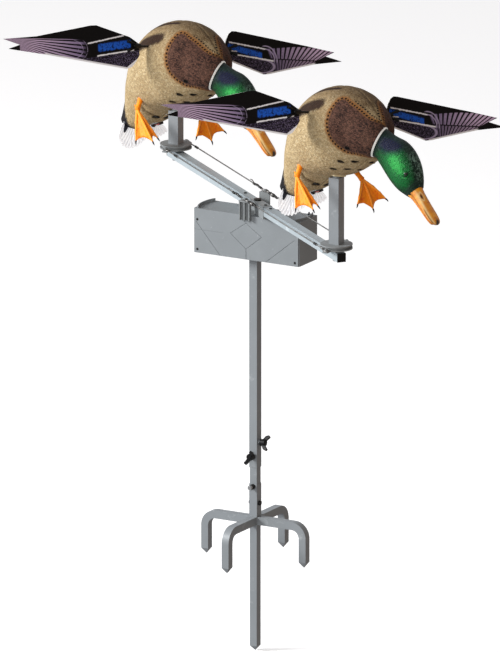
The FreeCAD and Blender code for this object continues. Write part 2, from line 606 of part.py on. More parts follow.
def seat(name, piece, label, side):
    """Place a piece of the duck's own frame on one post, turned to its heading and bank."""
    across, along = pivot_at(side)
    placed = gather(name, piece)
    turn = Rotation(Vector(0, 0, 1), size("duck_heading")) * Rotation(Vector(1, 0, 0), size("duck_bank"))
    move(placed, (across, along, f"{label}_post_top"), turn)
    return placed


def oval(name, half_wide, half_tall, centre, lean, yaw=0):
    """An ellipse across the spine: lean is how far the spine points below level, yaw turns it left."""
    thing = doc.addObject("Part::Ellipse", name)
    wider = size(half_wide) >= size(half_tall)
    bind(thing, MajorRadius=half_wide if wider else half_tall, MinorRadius=half_tall if wider else half_wide)
    facing = Rotation(Vector(0, 0, 1), yaw) * Rotation(Vector(0, 1, 0), lean)
    upright = Rotation(Vector(1, 1, 1), 120)
    roll = Rotation() if wider else Rotation(Vector(0, 0, 1), 90)
    return move(thing, centre, facing * upright * roll)


def loft(name, sections):
    thing = doc.addObject("Part::Loft", name)
    thing.Sections = sections
    thing.Solid = True
    thing.Ruled = True
    return thing


# Each station: x, z, half width, half height, lean of the section.
BODY_STATIONS = [
    (153, 110, 35.5, 35, 16), (130, 112, 51, 50, 13), (88, 112, 72, 74, 5), (34, 107, 90, 93.5, -1),
    (-24, 95, 94, 97, -12), (-74, 64, 84, 87, -27), (-118, 8, 60, 68, -40), (-150, -34, 38, 42, -47),
    (-172, -66, 29, 20, -50),
]
# Along the line from the neck ring to the bill's tip: distance, rise above it, half width, half height.
HEAD_STATIONS = [
    (0, 0, 34.5, 34), (22, 7, 31, 34), (44, 12, 32, 40), (68, 12, 34, 43), (92, 9, 34, 42),
    (114, 5, 31, 37), (134, 1, 23, 28), (147, -3, 18, 20), (162, -7, 19, 14), (192, -11, 21, 10),
    (218, -13, 20, 8), (232, -14, 12, 5),
]
HEAD_YAW, HEAD_PITCH = 25, 36
TAIL_STATIONS = [(0, 0, 30, 9), (40, 0, 38, 6), (84, 0, 44, 3)]


def half_shell(name, side):
    """One half of the body's wall: ruled skins between half ovals, closed along the seam and at both ends."""
    wall = size("shell_wall")

    def half_oval(station, shrink):
        x, z, wide, tall, lean = station
        centre = Vector(x, 0, z)
        dorsal = Vector(math.sin(math.radians(lean)), 0, math.cos(math.radians(lean)))
        flank, belly = Vector(0, side * (wide - shrink), 0), dorsal * (shrink - tall)
        if wide >= tall:
            whole = Part.Ellipse(centre + flank, centre - belly, centre)
            return Part.Arc(whole, -math.pi / 2, math.pi / 2).toShape()
        return Part.Arc(Part.Ellipse(centre + belly, centre + flank, centre), 0, math.pi).toShape()

    def closed(*corners):
        return Part.Face(Part.makePolygon(list(corners) + [corners[0]]))

    outer = [half_oval(station, 0) for station in BODY_STATIONS]
    inner = [half_oval(station, wall) for station in BODY_STATIONS]
    faces = []
    for index in range(len(BODY_STATIONS) - 1):
        faces += [Part.makeRuledSurface(ovals[index], ovals[index + 1]) for ovals in (outer, inner)]
        around = (outer[index], outer[index + 1], inner[index + 1], inner[index])
        faces += [closed(*[arc.valueAt(arc.ParameterRange[end]) for arc in around]) for end in (0, 1)]
    for end in (0, -1):
        arcs = (outer[end], inner[end])
        tips = [[arc.valueAt(parameter) for parameter in arc.ParameterRange] for arc in arcs]
        bridges = [Part.LineSegment(tips[0][tip], tips[1][tip]).toShape() for tip in (0, 1)]
        faces.append(Part.Face(Part.Wire(Part.__sortEdges__([*arcs, *bridges]))))
    skin = Part.makeShell(faces)
    skin.sewShape()
    solid = Part.makeSolid(skin)
    thing = doc.addObject("Part::Feature", name)
    thing.Shape = solid if solid.Volume > 0 else solid.reversed()
    return thing


def straight_loft(name, start, yaw, pitch, stations, first_lean=None):
    """A loft whose ovals sit square to one straight line; the first may lean on the plane that it joins."""
    facing = Rotation(Vector(0, 0, 1), yaw) * Rotation(Vector(0, 1, 0), pitch)
    line, up = facing.multVec(Vector(1, 0, 0)), facing.multVec(Vector(0, 0, 1))
    ovals = []
    for index, (distance, rise, wide, tall) in enumerate(stations):
        centre = [f"{value:.4f}" for value in start + line * distance + up * rise]
        joins = index == 0 and first_lean is not None
        ovals.append(oval(f"{name}_{index}", str(wide), str(tall), centre,
                          first_lean if joins else pitch, 0 if joins else yaw))
    return loft(name, ovals)


def foot(name, hip, heel, toes, spread):
    """A leg and its web: a thin shank that widens into a flat fan."""
    way = toes - heel
    yaw = math.degrees(math.atan2(way.y, way.x))
    pitch = -math.degrees(math.atan2(way.z, math.hypot(way.x, way.y)))
    leg = heel - hip
    leg_pitch = -math.degrees(math.atan2(leg.z, math.hypot(leg.x, leg.y)))
    leg_yaw = math.degrees(math.atan2(leg.y, leg.x))
    shank = straight_loft(name + "_shank", hip, leg_yaw, leg_pitch, [
        (0, 0, 9, 8), (leg.Length * 0.6, 0, 6, 5), (leg.Length + 4, 0, 6, 4)])
    web = straight_loft(name + "_web", heel, yaw, pitch, [
        (0, 0, 6, 4), (way.Length * 0.5, 0, spread * 0.6, 3), (way.Length, 0, spread, 2)])
    return fuse(name, shank, web)


SWITCH_AT = ("-90", "14", "-53")
SWITCH_TURN = Rotation(Vector(0, 1, 0), 157)
WING_PITCH, WING_SWEEP = math.radians(-15), math.radians(6)
# One blade, from its root outboard along one edge to the forked tip and back along the other.
WING_OUTLINE = [("-9", "-5"), ("-10", "-20"), ("-2", "-34"), ("8", "-47"), ("21", "-52"), ("224", "-25"),
                ("314", "-15"), ("285", "-5"), ("327", "7"), ("245", "15"), ("112", "43"), ("97", "44"),
                ("15", "20"), ("-9", "5")]


def duck():
    shaft_way = rod("duck_shaft_way", "wing_shaft_radius + 0.8", "240",
                    ("wing_shaft_x", "-120", "wing_shaft_z"), "y")
    switch_way = box("duck_switch_way", ("22", "15", "30"), SWITCH_AT, SWITCH_TURN)
    for side, name in ((1, "left"), (-1, "right")):
        duck_pieces[f"{name}_shell"] = cut(f"duck_{name}_shell", half_shell(f"duck_{name}_wall", side),
                                           shaft_way, switch_way)
    neck_x, neck_z, _, _, neck_lean = BODY_STATIONS[0]
    rump_x, rump_z, _, _, rump_lean = BODY_STATIONS[-1]
    duck_pieces["head"] = straight_loft("duck_head", Vector(neck_x, 0, neck_z), HEAD_YAW, HEAD_PITCH,
                                        HEAD_STATIONS, neck_lean)
    duck_pieces["tail"] = straight_loft("duck_tail", Vector(rump_x, 0, rump_z), 180, -rump_lean,
                                        TAIL_STATIONS)
    feet = [foot("duck_right_foot", Vector(-52, -62, 16), Vector(-40, -76, -14), Vector(14, -73, -70), 32),
            foot("duck_left_foot", Vector(-24, 55, 11), Vector(2, 68, -6), Vector(42, 80, -56), 36)]
    duck_pieces["feet"] = gather("duck_feet", *feet)
    can = rod("duck_motor_can", "15", "56", ("wing_shaft_x", "-28", "wing_shaft_z"), "y")
    bore = rod("duck_motor_bore", "wing_shaft_radius + fit_gap", "56",
               ("wing_shaft_x", "-28", "wing_shaft_z"), "y")
    cradle = box("duck_motor_cradle", ("30", "30", "44"), ("wing_shaft_x + 5", "0", "wing_shaft_z - 35"))
    duck_pieces["wing_motor"] = cut("duck_motor", fuse("duck_motor_solid", can, cradle), bore)
    case = box("duck_battery_case", ("62", "58", "30"), ("18", "0", "62"))
    lid = box("duck_battery_lid", ("50", "46", "4"), ("18", "0", "79"))
    duck_pieces["battery"] = fuse("duck_battery", case, lid)
    bezel = box("duck_bezel_block", ("21.6", "14.6", "5"), ("0", "0", "0"))
    bezel_hole = box("duck_bezel_hole", ("18.6", "11", "7"), ("0", "0", "0"))
    duck_pieces["switch_bezel"] = move(gather("duck_bezel", cut("duck_bezel_cut", bezel, bezel_hole)),
                                       SWITCH_AT, SWITCH_TURN)
    duck_pieces["switch_rocker"] = rocker("duck_rocker", ("16.6", "10", "1.6"), SWITCH_AT, SWITCH_TURN)
    clamps = [rod(f"duck_clamp_{index}", "6", "12", ("wing_shaft_x", y, "wing_shaft_z"), "y")
              for index, y in enumerate(("-wing_root - 4", "wing_root - 8"))]
    wire = rod("duck_wing_wire", "wing_shaft_radius", "2 * wing_root + 8",
               ("wing_shaft_x", "-wing_root - 4", "wing_shaft_z"), "y")
    duck_pieces["wing_shaft"] = fuse("duck_wing_shaft", wire, *clamps)
    for side, name in ((1, "left"), (-1, "right")):
        blade = plate(f"duck_{name}_wing_blade", WING_OUTLINE, "wing_thick")
        chord = Vector(math.sin(WING_PITCH), 0, math.cos(WING_PITCH))
        ahead = Vector(math.cos(WING_PITCH), 0, -math.sin(WING_PITCH))
        out = Vector(0, side, 0) * math.cos(WING_SWEEP) - ahead * math.sin(WING_SWEEP)
        turn = Rotation(out, chord * -side, out.cross(chord * -side), "XYZ")
        drop = "wing_drop" if name == "left" else "0"
        duck_pieces[f"{name}_wing"] = move(blade, (
            f"wing_shaft_x - {chord.x:.6f} * {drop}", f"{side} * (wing_root + 4)",
            f"wing_shaft_z - {chord.z:.6f} * {drop}"), turn)


DUCK_NODES = ["left_shell", "right_shell", "head", "tail", "feet", "wing_motor", "battery",
              "switch_bezel", "switch_rocker", "wing_shaft", "left_wing", "right_wing"]


def export():
    doc.recompute()
    for thing in doc.Objects:
        if {"Invalid", "Error"} & set(thing.State):
            raise RuntimeError(f"{thing.Name} failed: {thing.State}")
    os.makedirs("parts", exist_ok=True)
    for label, thing in nodes.items():
        shape = thing.Shape
        if shape.isNull() or not shape.isValid() or not shape.Solids:
            raise RuntimeError(f"{label} has no valid solid")
        shape.exportStep(f"parts/{label}.step")
        print(label, len(shape.Solids), "solids", round(shape.Volume / 1000, 1), "cm3")


stand()
mast()
box_shell()
front_cover()
cable_tab("front_cable_tab", -1, True)
cable_tab("back_cable_tab", 1, False)
box_contents()
node("power_switch", rocker("power_rocker", ("19", "13", "2"), ("-80", "box_deep / 2 + 0.2", "670"),
                            Rotation(Vector(1, 1, -1), -120)))
swinging_arm()
duck()
for label, side in PIVOTS.items():
    turntable(label, side)
    for piece in DUCK_NODES:
        node(f"{label}_{piece}", seat(f"{label}_{piece}_seat", duck_pieces[piece], label, side))
cable("front_cable", -1)
cable("back_cable", 1)
export()
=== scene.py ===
"""Looks for the motorised twin duck decoy: painted ducks, printed wings, twisted cables and metal finishes.

Metres, in the row frame. Lengths inside a duck are millimetres in the duck's own frame (+X breast, +Y its
left, origin on top of its post) and are scaled by MM when they become mesh.
"""
import json
import math

import bmesh
import bpy
import numpy as np
from mathutils import Matrix, Vector


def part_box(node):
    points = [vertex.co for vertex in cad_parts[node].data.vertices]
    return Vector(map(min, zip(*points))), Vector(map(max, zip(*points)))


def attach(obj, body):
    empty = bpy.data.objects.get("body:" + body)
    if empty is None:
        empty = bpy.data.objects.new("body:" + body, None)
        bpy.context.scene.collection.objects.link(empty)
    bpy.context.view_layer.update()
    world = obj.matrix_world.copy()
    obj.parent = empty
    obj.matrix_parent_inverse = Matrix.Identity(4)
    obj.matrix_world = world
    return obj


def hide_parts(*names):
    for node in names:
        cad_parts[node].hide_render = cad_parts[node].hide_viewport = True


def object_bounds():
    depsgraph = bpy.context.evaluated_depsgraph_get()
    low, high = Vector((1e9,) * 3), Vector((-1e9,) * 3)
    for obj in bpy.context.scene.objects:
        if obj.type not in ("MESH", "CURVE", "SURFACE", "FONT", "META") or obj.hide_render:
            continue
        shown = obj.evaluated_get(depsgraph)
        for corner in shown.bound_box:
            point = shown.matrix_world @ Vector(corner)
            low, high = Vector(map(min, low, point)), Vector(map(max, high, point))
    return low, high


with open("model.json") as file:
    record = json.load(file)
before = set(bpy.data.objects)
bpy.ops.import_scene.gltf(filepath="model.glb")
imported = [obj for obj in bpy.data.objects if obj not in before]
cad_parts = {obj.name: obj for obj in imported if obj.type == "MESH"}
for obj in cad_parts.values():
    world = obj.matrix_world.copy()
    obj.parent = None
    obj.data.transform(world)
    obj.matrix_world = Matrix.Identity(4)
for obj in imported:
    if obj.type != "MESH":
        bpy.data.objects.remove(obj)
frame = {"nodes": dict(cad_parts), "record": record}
cad_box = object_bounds()

MM = 0.001
SIDES = ("near", "far")
POST_PLUG = 2 * MM
DUCK_TURN = Matrix.Rotation(math.radians(-30), 4, "Z") @ Matrix.Rotation(math.radians(-9), 4, "X")


# ---- camera, floor and lights -------------------------------------------------------------------------

VIEW_FROM = Vector((0.4834, -0.8373, 0.2554))
VIEW_TARGET = Vector((-0.0102, -0.0059, 0.457))
LENS = 1000
SENSOR = 36
VISIBLE_HEIGHT = 1.4553
FLOOR_RADIUS, FLOOR_GAP = 40, 0.0005
PAPER_TONE, PAPER_GLOW = (0.86, 0.86, 0.86, 1), 0.36
SKY_LOW_X, SKY_HIGH_X, SKY_STRENGTH = (0.92, 0.98, 1.06, 1), (0.36, 0.27, 0.205, 1), 0.72
LAMP_AIM = Vector((0, 0, 0.5))
# Each lamp: name, place, width of its disc and power.
LAMPS = [("key", (-4.6, -3.4, 3.2), 2.2, 560), ("fill", (1.5, -5.5, 2.2), 3.0, 110)]


def make_camera():
    """Far off with a long lens, as the photograph shows hardly any perspective."""
    camera = bpy.data.objects.new("camera", bpy.data.cameras.new("camera"))
    bpy.context.scene.collection.objects.link(camera)
    camera.data.sensor_width = SENSOR
    camera.data.lens = LENS
    camera.data.clip_end = 200
    camera.location = VIEW_TARGET + VIEW_FROM.normalized() * (VISIBLE_HEIGHT * LENS / SENSOR)
    camera.rotation_mode = "QUATERNION"
    camera.rotation_quaternion = (-VIEW_FROM).to_track_quat("-Z", "Y")
    bpy.context.scene.camera = camera


def make_floor():
    """Pale paper that lights nothing on the object."""
    low, _ = cad_box
    bpy.ops.mesh.primitive_circle_add(vertices=96, radius=FLOOR_RADIUS, fill_type="NGON",
                                      location=(0, 0, low.z - FLOOR_GAP))
    floor = bpy.context.object
    floor.name = "floor"
    paper = bpy.data.materials.new("floor_paper")
    paper.use_nodes = True
    shader = paper.node_tree.nodes["Principled BSDF"]
    shader.inputs["Base Color"].default_value = PAPER_TONE
    shader.inputs["Roughness"].default_value = 0.9
    shader.inputs["Emission Color"].default_value = (1, 1, 1, 1)
    shader.inputs["Emission Strength"].default_value = PAPER_GLOW
    floor.data.materials.append(paper)
    floor.visible_diffuse = False
    floor.visible_glossy = False


def make_world():
    """A soft studio: cool and bright towards -X, dim and warm towards +X."""
    world = bpy.data.worlds.new("studio")
    bpy.context.scene.world = world
    world.use_nodes = True
    tree = world.node_tree
    where = tree.nodes.new("ShaderNodeTexCoord")
    split = tree.nodes.new("ShaderNodeSeparateXYZ")
    across = tree.nodes.new("ShaderNodeMapRange")
    across.inputs["From Min"].default_value = -1
    across.inputs["From Max"].default_value = 1
    tones = tree.nodes.new("ShaderNodeValToRGB")
    tones.color_ramp.elements[0].color = SKY_LOW_X
    tones.color_ramp.elements[1].color = SKY_HIGH_X
    tree.links.new(where.outputs["Generated"], split.inputs[0])
    tree.links.new(split.outputs["X"], across.inputs["Value"])
    tree.links.new(across.outputs[0], tones.inputs[0])
    tree.links.new(tones.outputs[0], tree.nodes["Background"].inputs["Color"])
    tree.nodes["Background"].inputs["Strength"].default_value = SKY_STRENGTH


def make_lamp(name, place, size, power):
    lamp = bpy.data.objects.new(name, bpy.data.lights.new(name, "AREA"))
    lamp.data.shape = "DISK"
    lamp.data.size = size
    lamp.data.energy = power
    lamp.location = place
    lamp.rotation_mode = "QUATERNION"
    lamp.rotation_quaternion = (LAMP_AIM - lamp.location).to_track_quat("-Z", "Y")
    bpy.context.scene.collection.objects.link(lamp)


bpy.context.scene.view_settings.view_transform = "Standard"
make_camera()
make_floor()
make_world()
for lamp_plan in LAMPS:
    make_lamp(*lamp_plan)


# ---- materials ----------------------------------------------------------------------------------------

def tint(code):
    """Linear colour of a hex code."""
    parts = [int(code[i:i + 2], 16) / 255 for i in (1, 3, 5)]
    return (*[p / 12.92 if p <= 0.04045 else ((p + 0.055) / 1.055) ** 2.4 for p in parts], 1)


class Field:
    """A number that varies over a surface, combined with ordinary arithmetic."""

    def __init__(self, tree, socket):
        self.tree, self.socket = tree, socket

    def math(self, operation, *others, clamp=False):
        node = self.tree.nodes.new("ShaderNodeMath")
        node.operation = operation
        node.use_clamp = clamp
        for slot, value in zip(node.inputs, (self, *others)):
            if isinstance(value, Field):
                self.tree.links.new(value.socket, slot)
            else:
                slot.default_value = value
        return Field(self.tree, node.outputs[0])

    def __add__(self, other):
        return self.math("ADD", other)

    def __sub__(self, other):
        return self.math("SUBTRACT", other)

    def __mul__(self, other):
        return self.math("MULTIPLY", other)

    def __truediv__(self, other):
        return self.math("DIVIDE", other)

    def above(self, edge, soft):
        """0 below the edge and 1 above it, over a soft width."""
        return (self - edge).math("MULTIPLY_ADD", 1 / soft, 0.5, clamp=True)

    def below(self, edge, soft):
        return (self - edge).math("MULTIPLY_ADD", -1 / soft, 0.5, clamp=True)

    def size(self):
        return self.math("ABSOLUTE")

    def clamped(self):
        return self.math("ADD", 0, clamp=True)

    def most(self, other):
        return self.math("MAXIMUM", other)

    def cycle(self, period):
        """Distance through a repeating period, from 0 to 1."""
        return (self / period).math("FRACT")


class Paint:
    """One material under construction."""

    def __init__(self, name, **sockets):
        self.material = bpy.data.materials.new(name)
        self.material.use_nodes = True
        self.tree = self.material.node_tree
        self.shader = self.tree.nodes["Principled BSDF"]
        self.place = self.tree.nodes.new("ShaderNodeTexCoord").outputs["Object"]
        for socket, value in sockets.items():
            self.shader.inputs[socket.replace("_", " ")].default_value = value

    def stretched(self, stretch):
        if stretch is None:
            return self.place
        node = self.tree.nodes.new("ShaderNodeMapping")
        node.inputs["Scale"].default_value = stretch
        self.tree.links.new(self.place, node.inputs["Vector"])
        return node.outputs[0]

    def noise(self, scale, detail=2.0, distortion=0.0, stretch=None):
        node = self.tree.nodes.new("ShaderNodeTexNoise")
        node.inputs["Scale"].default_value = scale
        node.inputs["Detail"].default_value = detail
        node.inputs["Distortion"].default_value = distortion
        self.tree.links.new(self.stretched(stretch), node.inputs["Vector"])
        return Field(self.tree, node.outputs[0])

    def cells(self, scale, feature="F1", stretch=None):
        node = self.tree.nodes.new("ShaderNodeTexVoronoi")
        node.feature = feature
        node.inputs["Scale"].default_value = scale
        self.tree.links.new(self.stretched(stretch), node.inputs["Vector"])
        return Field(self.tree, node.outputs[0])

    def painted(self, name):
        """A value that the mesh carries at each point."""
        node = self.tree.nodes.new("ShaderNodeAttribute")
        node.attribute_name = name
        return Field(self.tree, node.outputs["Fac"])

    def mix(self, amount, low, high):
        """A colour between two, which are hex codes or colour sockets."""
        node = self.tree.nodes.new("ShaderNodeMix")
        node.data_type = "RGBA"
        self.tree.links.new(amount.socket, node.inputs["Factor"])
        for slot, value in ((node.inputs[6], low), (node.inputs[7], high)):
            if isinstance(value, str):
                slot.default_value = tint(value)
            else:
                self.tree.links.new(value, slot)
        return node.outputs[2]

    def colour(self, socket):
        self.tree.links.new(socket, self.shader.inputs["Base Color"])

    def rough(self, amount, low, high):
        self.tree.links.new((amount * (high - low) + low).socket, self.shader.inputs["Roughness"])

    def relief(self, height, depth, rounded=None):
        """Bump of a real depth in metres, over edges rounded by a real radius."""
        node = self.tree.nodes.new("ShaderNodeBump")
        node.inputs["Strength"].default_value = 1
        node.inputs["Distance"].default_value = depth
        self.tree.links.new(height.socket, node.inputs["Height"])
        if rounded:
            bevel = self.tree.nodes.new("ShaderNodeBevel")
            bevel.samples = 4
            bevel.inputs["Radius"].default_value = rounded
            self.tree.links.new(bevel.outputs[0], node.inputs["Normal"])
        self.tree.links.new(node.outputs[0], self.shader.inputs["Normal"])


def coated_metal(name, base, worn, metallic, roughness, grain=900):
    """Sprayed or powder-coated metal: orange peel, faint blotches and rubbed spots."""
    paint = Paint(name, Metallic=metallic, Coat_Weight=0.08, Coat_Roughness=0.35)
    blotch = paint.noise(14, 4, 0.4)
    rubbed = paint.noise(46, 6, 0.8).above(0.66, 0.08) * paint.noise(310, 3).above(0.5, 0.3)
    paint.colour(paint.mix(rubbed * 0.6, paint.mix(blotch, base[0], base[1]), worn))
    paint.rough(paint.noise(60, 3), roughness - 0.08, roughness + 0.1)
    paint.relief(paint.noise(grain, 2), 0.00010, 0.0007)
    return paint.material


def bare_metal(name, base, roughness, brush):
    """Plain steel or brass with drawn streaks."""
    paint = Paint(name, Metallic=1.0)
    streak = paint.noise(brush, 4, 0.0, (1, 1, 9))
    paint.colour(paint.mix(streak, base[0], base[1]))
    paint.rough(streak, roughness - 0.08, roughness + 0.12)
    paint.relief(streak, 0.00004, 0.0004)
    return paint.material


def moulded_plastic(name, base, roughness, grain=1400, depth=0.00006, coat=0.0, specular=0.5):
    """Injection-moulded plastic with a spark-eroded grain."""
    paint = Paint(name, Coat_Weight=coat, Coat_Roughness=0.2, Specular_IOR_Level=specular)
    cloud = paint.noise(22, 3)
    scuff = paint.noise(80, 5, 1.2).above(0.68, 0.06)
    paint.colour(paint.mix(scuff * 0.35, paint.mix(cloud, base[0], base[1]), base[2]))
    paint.rough(scuff, roughness, roughness + 0.14)
    paint.relief(paint.noise(grain, 2), depth, 0.0006)
    return paint.material


# Visible length and width of a feather on the body, the head and the wing coverts, in millimetres.
BODY_FEATHER, HEAD_FEATHER, COVERT_FEATHER = (9.0, 8.0), (5.2, 4.2), (7.5, 12.0)
# The chest patch in millimetres: spacing of its stitches, their two rows outside its edge, half its border.
STITCH_PITCH, STITCH_ROWS, BORDER_HALF = 8.2, (1.5, 11), 8.5
BILL_BASE = 137


def feather_rows(along, around, length, width):
    """A scaly relief: rows of overlapping rounded feathers, offset from row to row."""
    row = (along / length).math("FLOOR")
    across = (around / width + row * 0.5).math("FRACT") - 0.5
    down = along.cycle(length)
    return (down - across * across * 1.6).math("FRACT")


def body_skin():
    """Painted breast and flanks: tan with fine barring, brown chest patches with stitched borders; painted
    shade in the screw holes, the thigh fold and along the shoulder.
    """
    paint = Paint("duck_body_skin", Roughness=0.7, Specular_IOR_Level=0.12)
    edge = paint.painted("patch_edge")
    along = paint.painted("patch_along")
    fine = paint.noise(330, 3, 1.4, (0.5, 0.5, 1.1))
    wobble = paint.noise(110, 3)
    barring = fine.above(0.50, 0.10)
    tan = paint.mix(paint.noise(16, 4, 0.6), "#A88D63", "#CDB78E")
    tan = paint.mix(barring * 0.5, tan, "#6B5536")
    tan = paint.mix(paint.noise(190, 2, 0.8).above(0.60, 0.1) * 0.4, tan, "#E6D8B4")
    tan = paint.mix(paint.painted("upper") * (fine * 0.6 + 0.5), tan, "#54402A")
    loose = edge + (wobble - 0.5) * 7
    border = loose.size().below(BORDER_HALF, 8) * 0.9
    skin = paint.mix(border, tan, "#84562A")
    weave = paint.noise(280, 4, 1.8, (0.5, 0.5, 1.1))
    brown = paint.mix(weave.above(0.50, 0.12), "#1E120F", "#5E4034")
    brown = paint.mix(paint.noise(30, 2).above(0.55, 0.3) * 0.3, brown, "#755445")
    skin = paint.mix(loose.below(-1.5, 4), skin, brown)
    step = (along.cycle(STITCH_PITCH) - 0.5) * STITCH_PITCH
    off, second = (edge - row for row in STITCH_ROWS)
    dots = (step * step * 0.8 + off * off).below(5.8, 2.4)
    outer_dots = (step * step * 0.8 + second * second).below(4.6, 2.4) * paint.painted("double_stitched")
    skin = paint.mix((dots * paint.painted("stitched")).most(outer_dots), skin, "#0B0706")
    smudge = (paint.painted("smudge") + (weave - 0.5) * 0.7).above(0.5, 0.35)
    skin = paint.mix(smudge * 0.97, skin, paint.mix(weave, "#0E0806", "#3B241A"))
    pale = (paint.painted("pale") + (fine - 0.5) * 0.9).above(0.5, 0.2)
    skin = paint.mix(pale, skin, paint.mix(wobble.above(0.5, 0.1), "#B9B9BC", "#F7F6F3"))
    rump = (paint.painted("rump") + (fine - 0.5) * 0.3).above(0.5, 0.2)
    skin = paint.mix(rump, skin, paint.mix(fine, "#100F12", "#2C2A2E"))
    # Near-black painted shade in the screw holes, and a dark line along the spine's seam.
    skin = paint.mix(paint.painted("hollow"), skin, "#0B0908")
    # Painted shade in the thigh fold and along the shoulder line.
    skin = paint.mix(paint.painted("crease") * 0.85, skin, "#4C3B22")
    paint.colour(skin)
    plume = feather_rows(paint.painted("reach"), paint.painted("girth"), *BODY_FEATHER)
    paint.relief(plume * 0.2 + fine * 0.6 + weave * 0.8, 0.0034)
    return paint.material


def head_skin():
    """Glossy green head: navy nape and crown, bright cheek with a painted highlight, painted highlights
    glinting along the crown, black by the bill.
    """
    paint = Paint("duck_head_skin", Roughness=0.42, Specular_IOR_Level=0.14)
    glow = paint.painted("glow")
    fine = paint.noise(210, 3, 1.0)
    streaks = feather_rows(paint.painted("reach"), paint.painted("girth"), *HEAD_FEATHER)
    green = paint.mix((glow + (fine - 0.5) * 1.3).above(0.55, 0.7), "#02100A", "#055A26")
    # A bright green painted highlight on each cheek.
    green = paint.mix((paint.painted("shine") + (fine - 0.5) * 1.8).above(0.72, 0.6), green, "#2FA048")
    navy = (paint.painted("nape") + (fine - 0.5) * 0.4).above(0.5, 0.4)
    skin = paint.mix(navy, green, paint.mix((streaks + fine * 0.6).above(0.75, 0.6), "#04050A", "#141A3C"))
    dark = (paint.painted("crown") + (fine - 0.5) * 0.4).above(0.5, 0.5)
    skin = paint.mix(dark * 0.85, skin, paint.mix(streaks, "#050809", "#1C3A2C"))
    # Grey-green painted highlights glinting along the crown.
    crown_glints = fine.above(0.53, 0.08) * paint.painted("fleck")
    skin = paint.mix(crown_glints * 0.8, skin, "#86A394")
    paint.colour(skin)
    paint.rough(streaks, 0.38, 0.6)
    paint.relief(streaks * 0.5 + fine, 0.0028)
    return paint.material


def bill_skin():
    """Orange bill with a painted highlight along its ridge and round the nostrils, a dark mouth line and
    faint red mottling.
    """
    paint = Paint("duck_bill_skin", Roughness=0.42, Coat_Weight=0.12, Coat_Roughness=0.3)
    base = paint.painted("reach").below(BILL_BASE, 6)
    blotch = paint.noise(90, 4, 0.8)
    skin = paint.mix(blotch.above(0.5, 0.4), "#D97404", "#FFAE1C")
    # A painted highlight along the ridge and round the nostrils.
    skin = paint.mix(paint.painted("pale") * 0.8, skin, "#FFE2A0")
    skin = paint.mix(paint.noise(300, 3).above(0.66, 0.08) * 0.6, skin, "#C2570C")
    skin = paint.mix(paint.painted("dark"), skin, "#1A120C")
    skin = paint.mix(base * 0.8, skin, "#5A3A12")
    paint.colour(skin)
    paint.relief(blotch * 0.5 + paint.noise(700, 2) * 0.5, 0.0004)
    return paint.material


def foot_skin():
    """Bright orange web with red streaks running down each toe."""
    paint = Paint("duck_foot_skin", Roughness=0.5, Specular_IOR_Level=0.25)
    streak = paint.noise(180, 4, 1.4, (1, 1, 0.35))
    skin = paint.mix(paint.noise(60, 3), "#FF7C00", "#FF9A12")
    skin = paint.mix(streak.above(0.6, 0.12) * 0.75, skin, "#E8480A")
    skin = paint.mix(paint.painted("toe") * 0.35, skin, "#FFB84A")
    paint.colour(skin)
    paint.relief(paint.cells(420, "DISTANCE_TO_EDGE") + streak * 0.5, 0.0005)
    return paint.material


def feather_skin(name, pale, shade, dark_edge, glow=0.0):
    """A single big feather: a shaft, barbs running off it and a soft edge; glow is painted light, a light of
    its own.
    """
    paint = Paint(name, Roughness=0.6, Specular_IOR_Level=0.2)
    across = paint.painted("across")
    barbs = (paint.painted("reach") + across.size() * 9).cycle(2.2)
    skin = paint.mix(paint.noise(70, 3), pale, shade)
    skin = paint.mix(barbs.above(0.75, 0.2) * 0.25, skin, dark_edge)
    skin = paint.mix(across.size().above(0.8, 0.2) * 0.5, skin, dark_edge)
    skin = paint.mix(across.size().below(0.07, 0.05) * 0.7, skin, dark_edge)
    paint.colour(skin)
    # glow: the feather gives off its own colour as painted light.
    if glow:
        paint.tree.links.new(skin, paint.shader.inputs["Emission Color"])
        paint.shader.inputs["Emission Strength"].default_value = glow
    paint.relief(barbs * 0.4 + across.size().below(0.08, 0.06), 0.0005)
    return paint.material


def segment(span, chord, start, end):
    """How far a point lies above the line through two points, in millimetres up the chord."""
    slope = (end[1] - start[1]) / (end[0] - start[0])
    return chord - start[1] - (span - start[0]) * slope


def stroke(span, chord, start, end, half, soft, ragged):
    """A straight painted stroke between two points, with a ragged edge."""
    inside = (segment(span, chord, start, end) + ragged).size().below(half, soft)
    return inside * span.above(start[0], 2.5) * span.below(end[0], 2.5)


def from_spot(span, chord, spot, squeeze=1.0):
    """Distance from a spot on the blade, where the square of the distance outboard counts only in part."""
    out, up = span - spot[0], chord - spot[1]
    return (out * out * squeeze + up * up).math("SQRT")


def fan_turn(span, chord, tip):
    """Slope of the line from the fan's outer tip back to a point."""
    return (chord * -1 + tip[1]) / (span * -1 + tip[0])


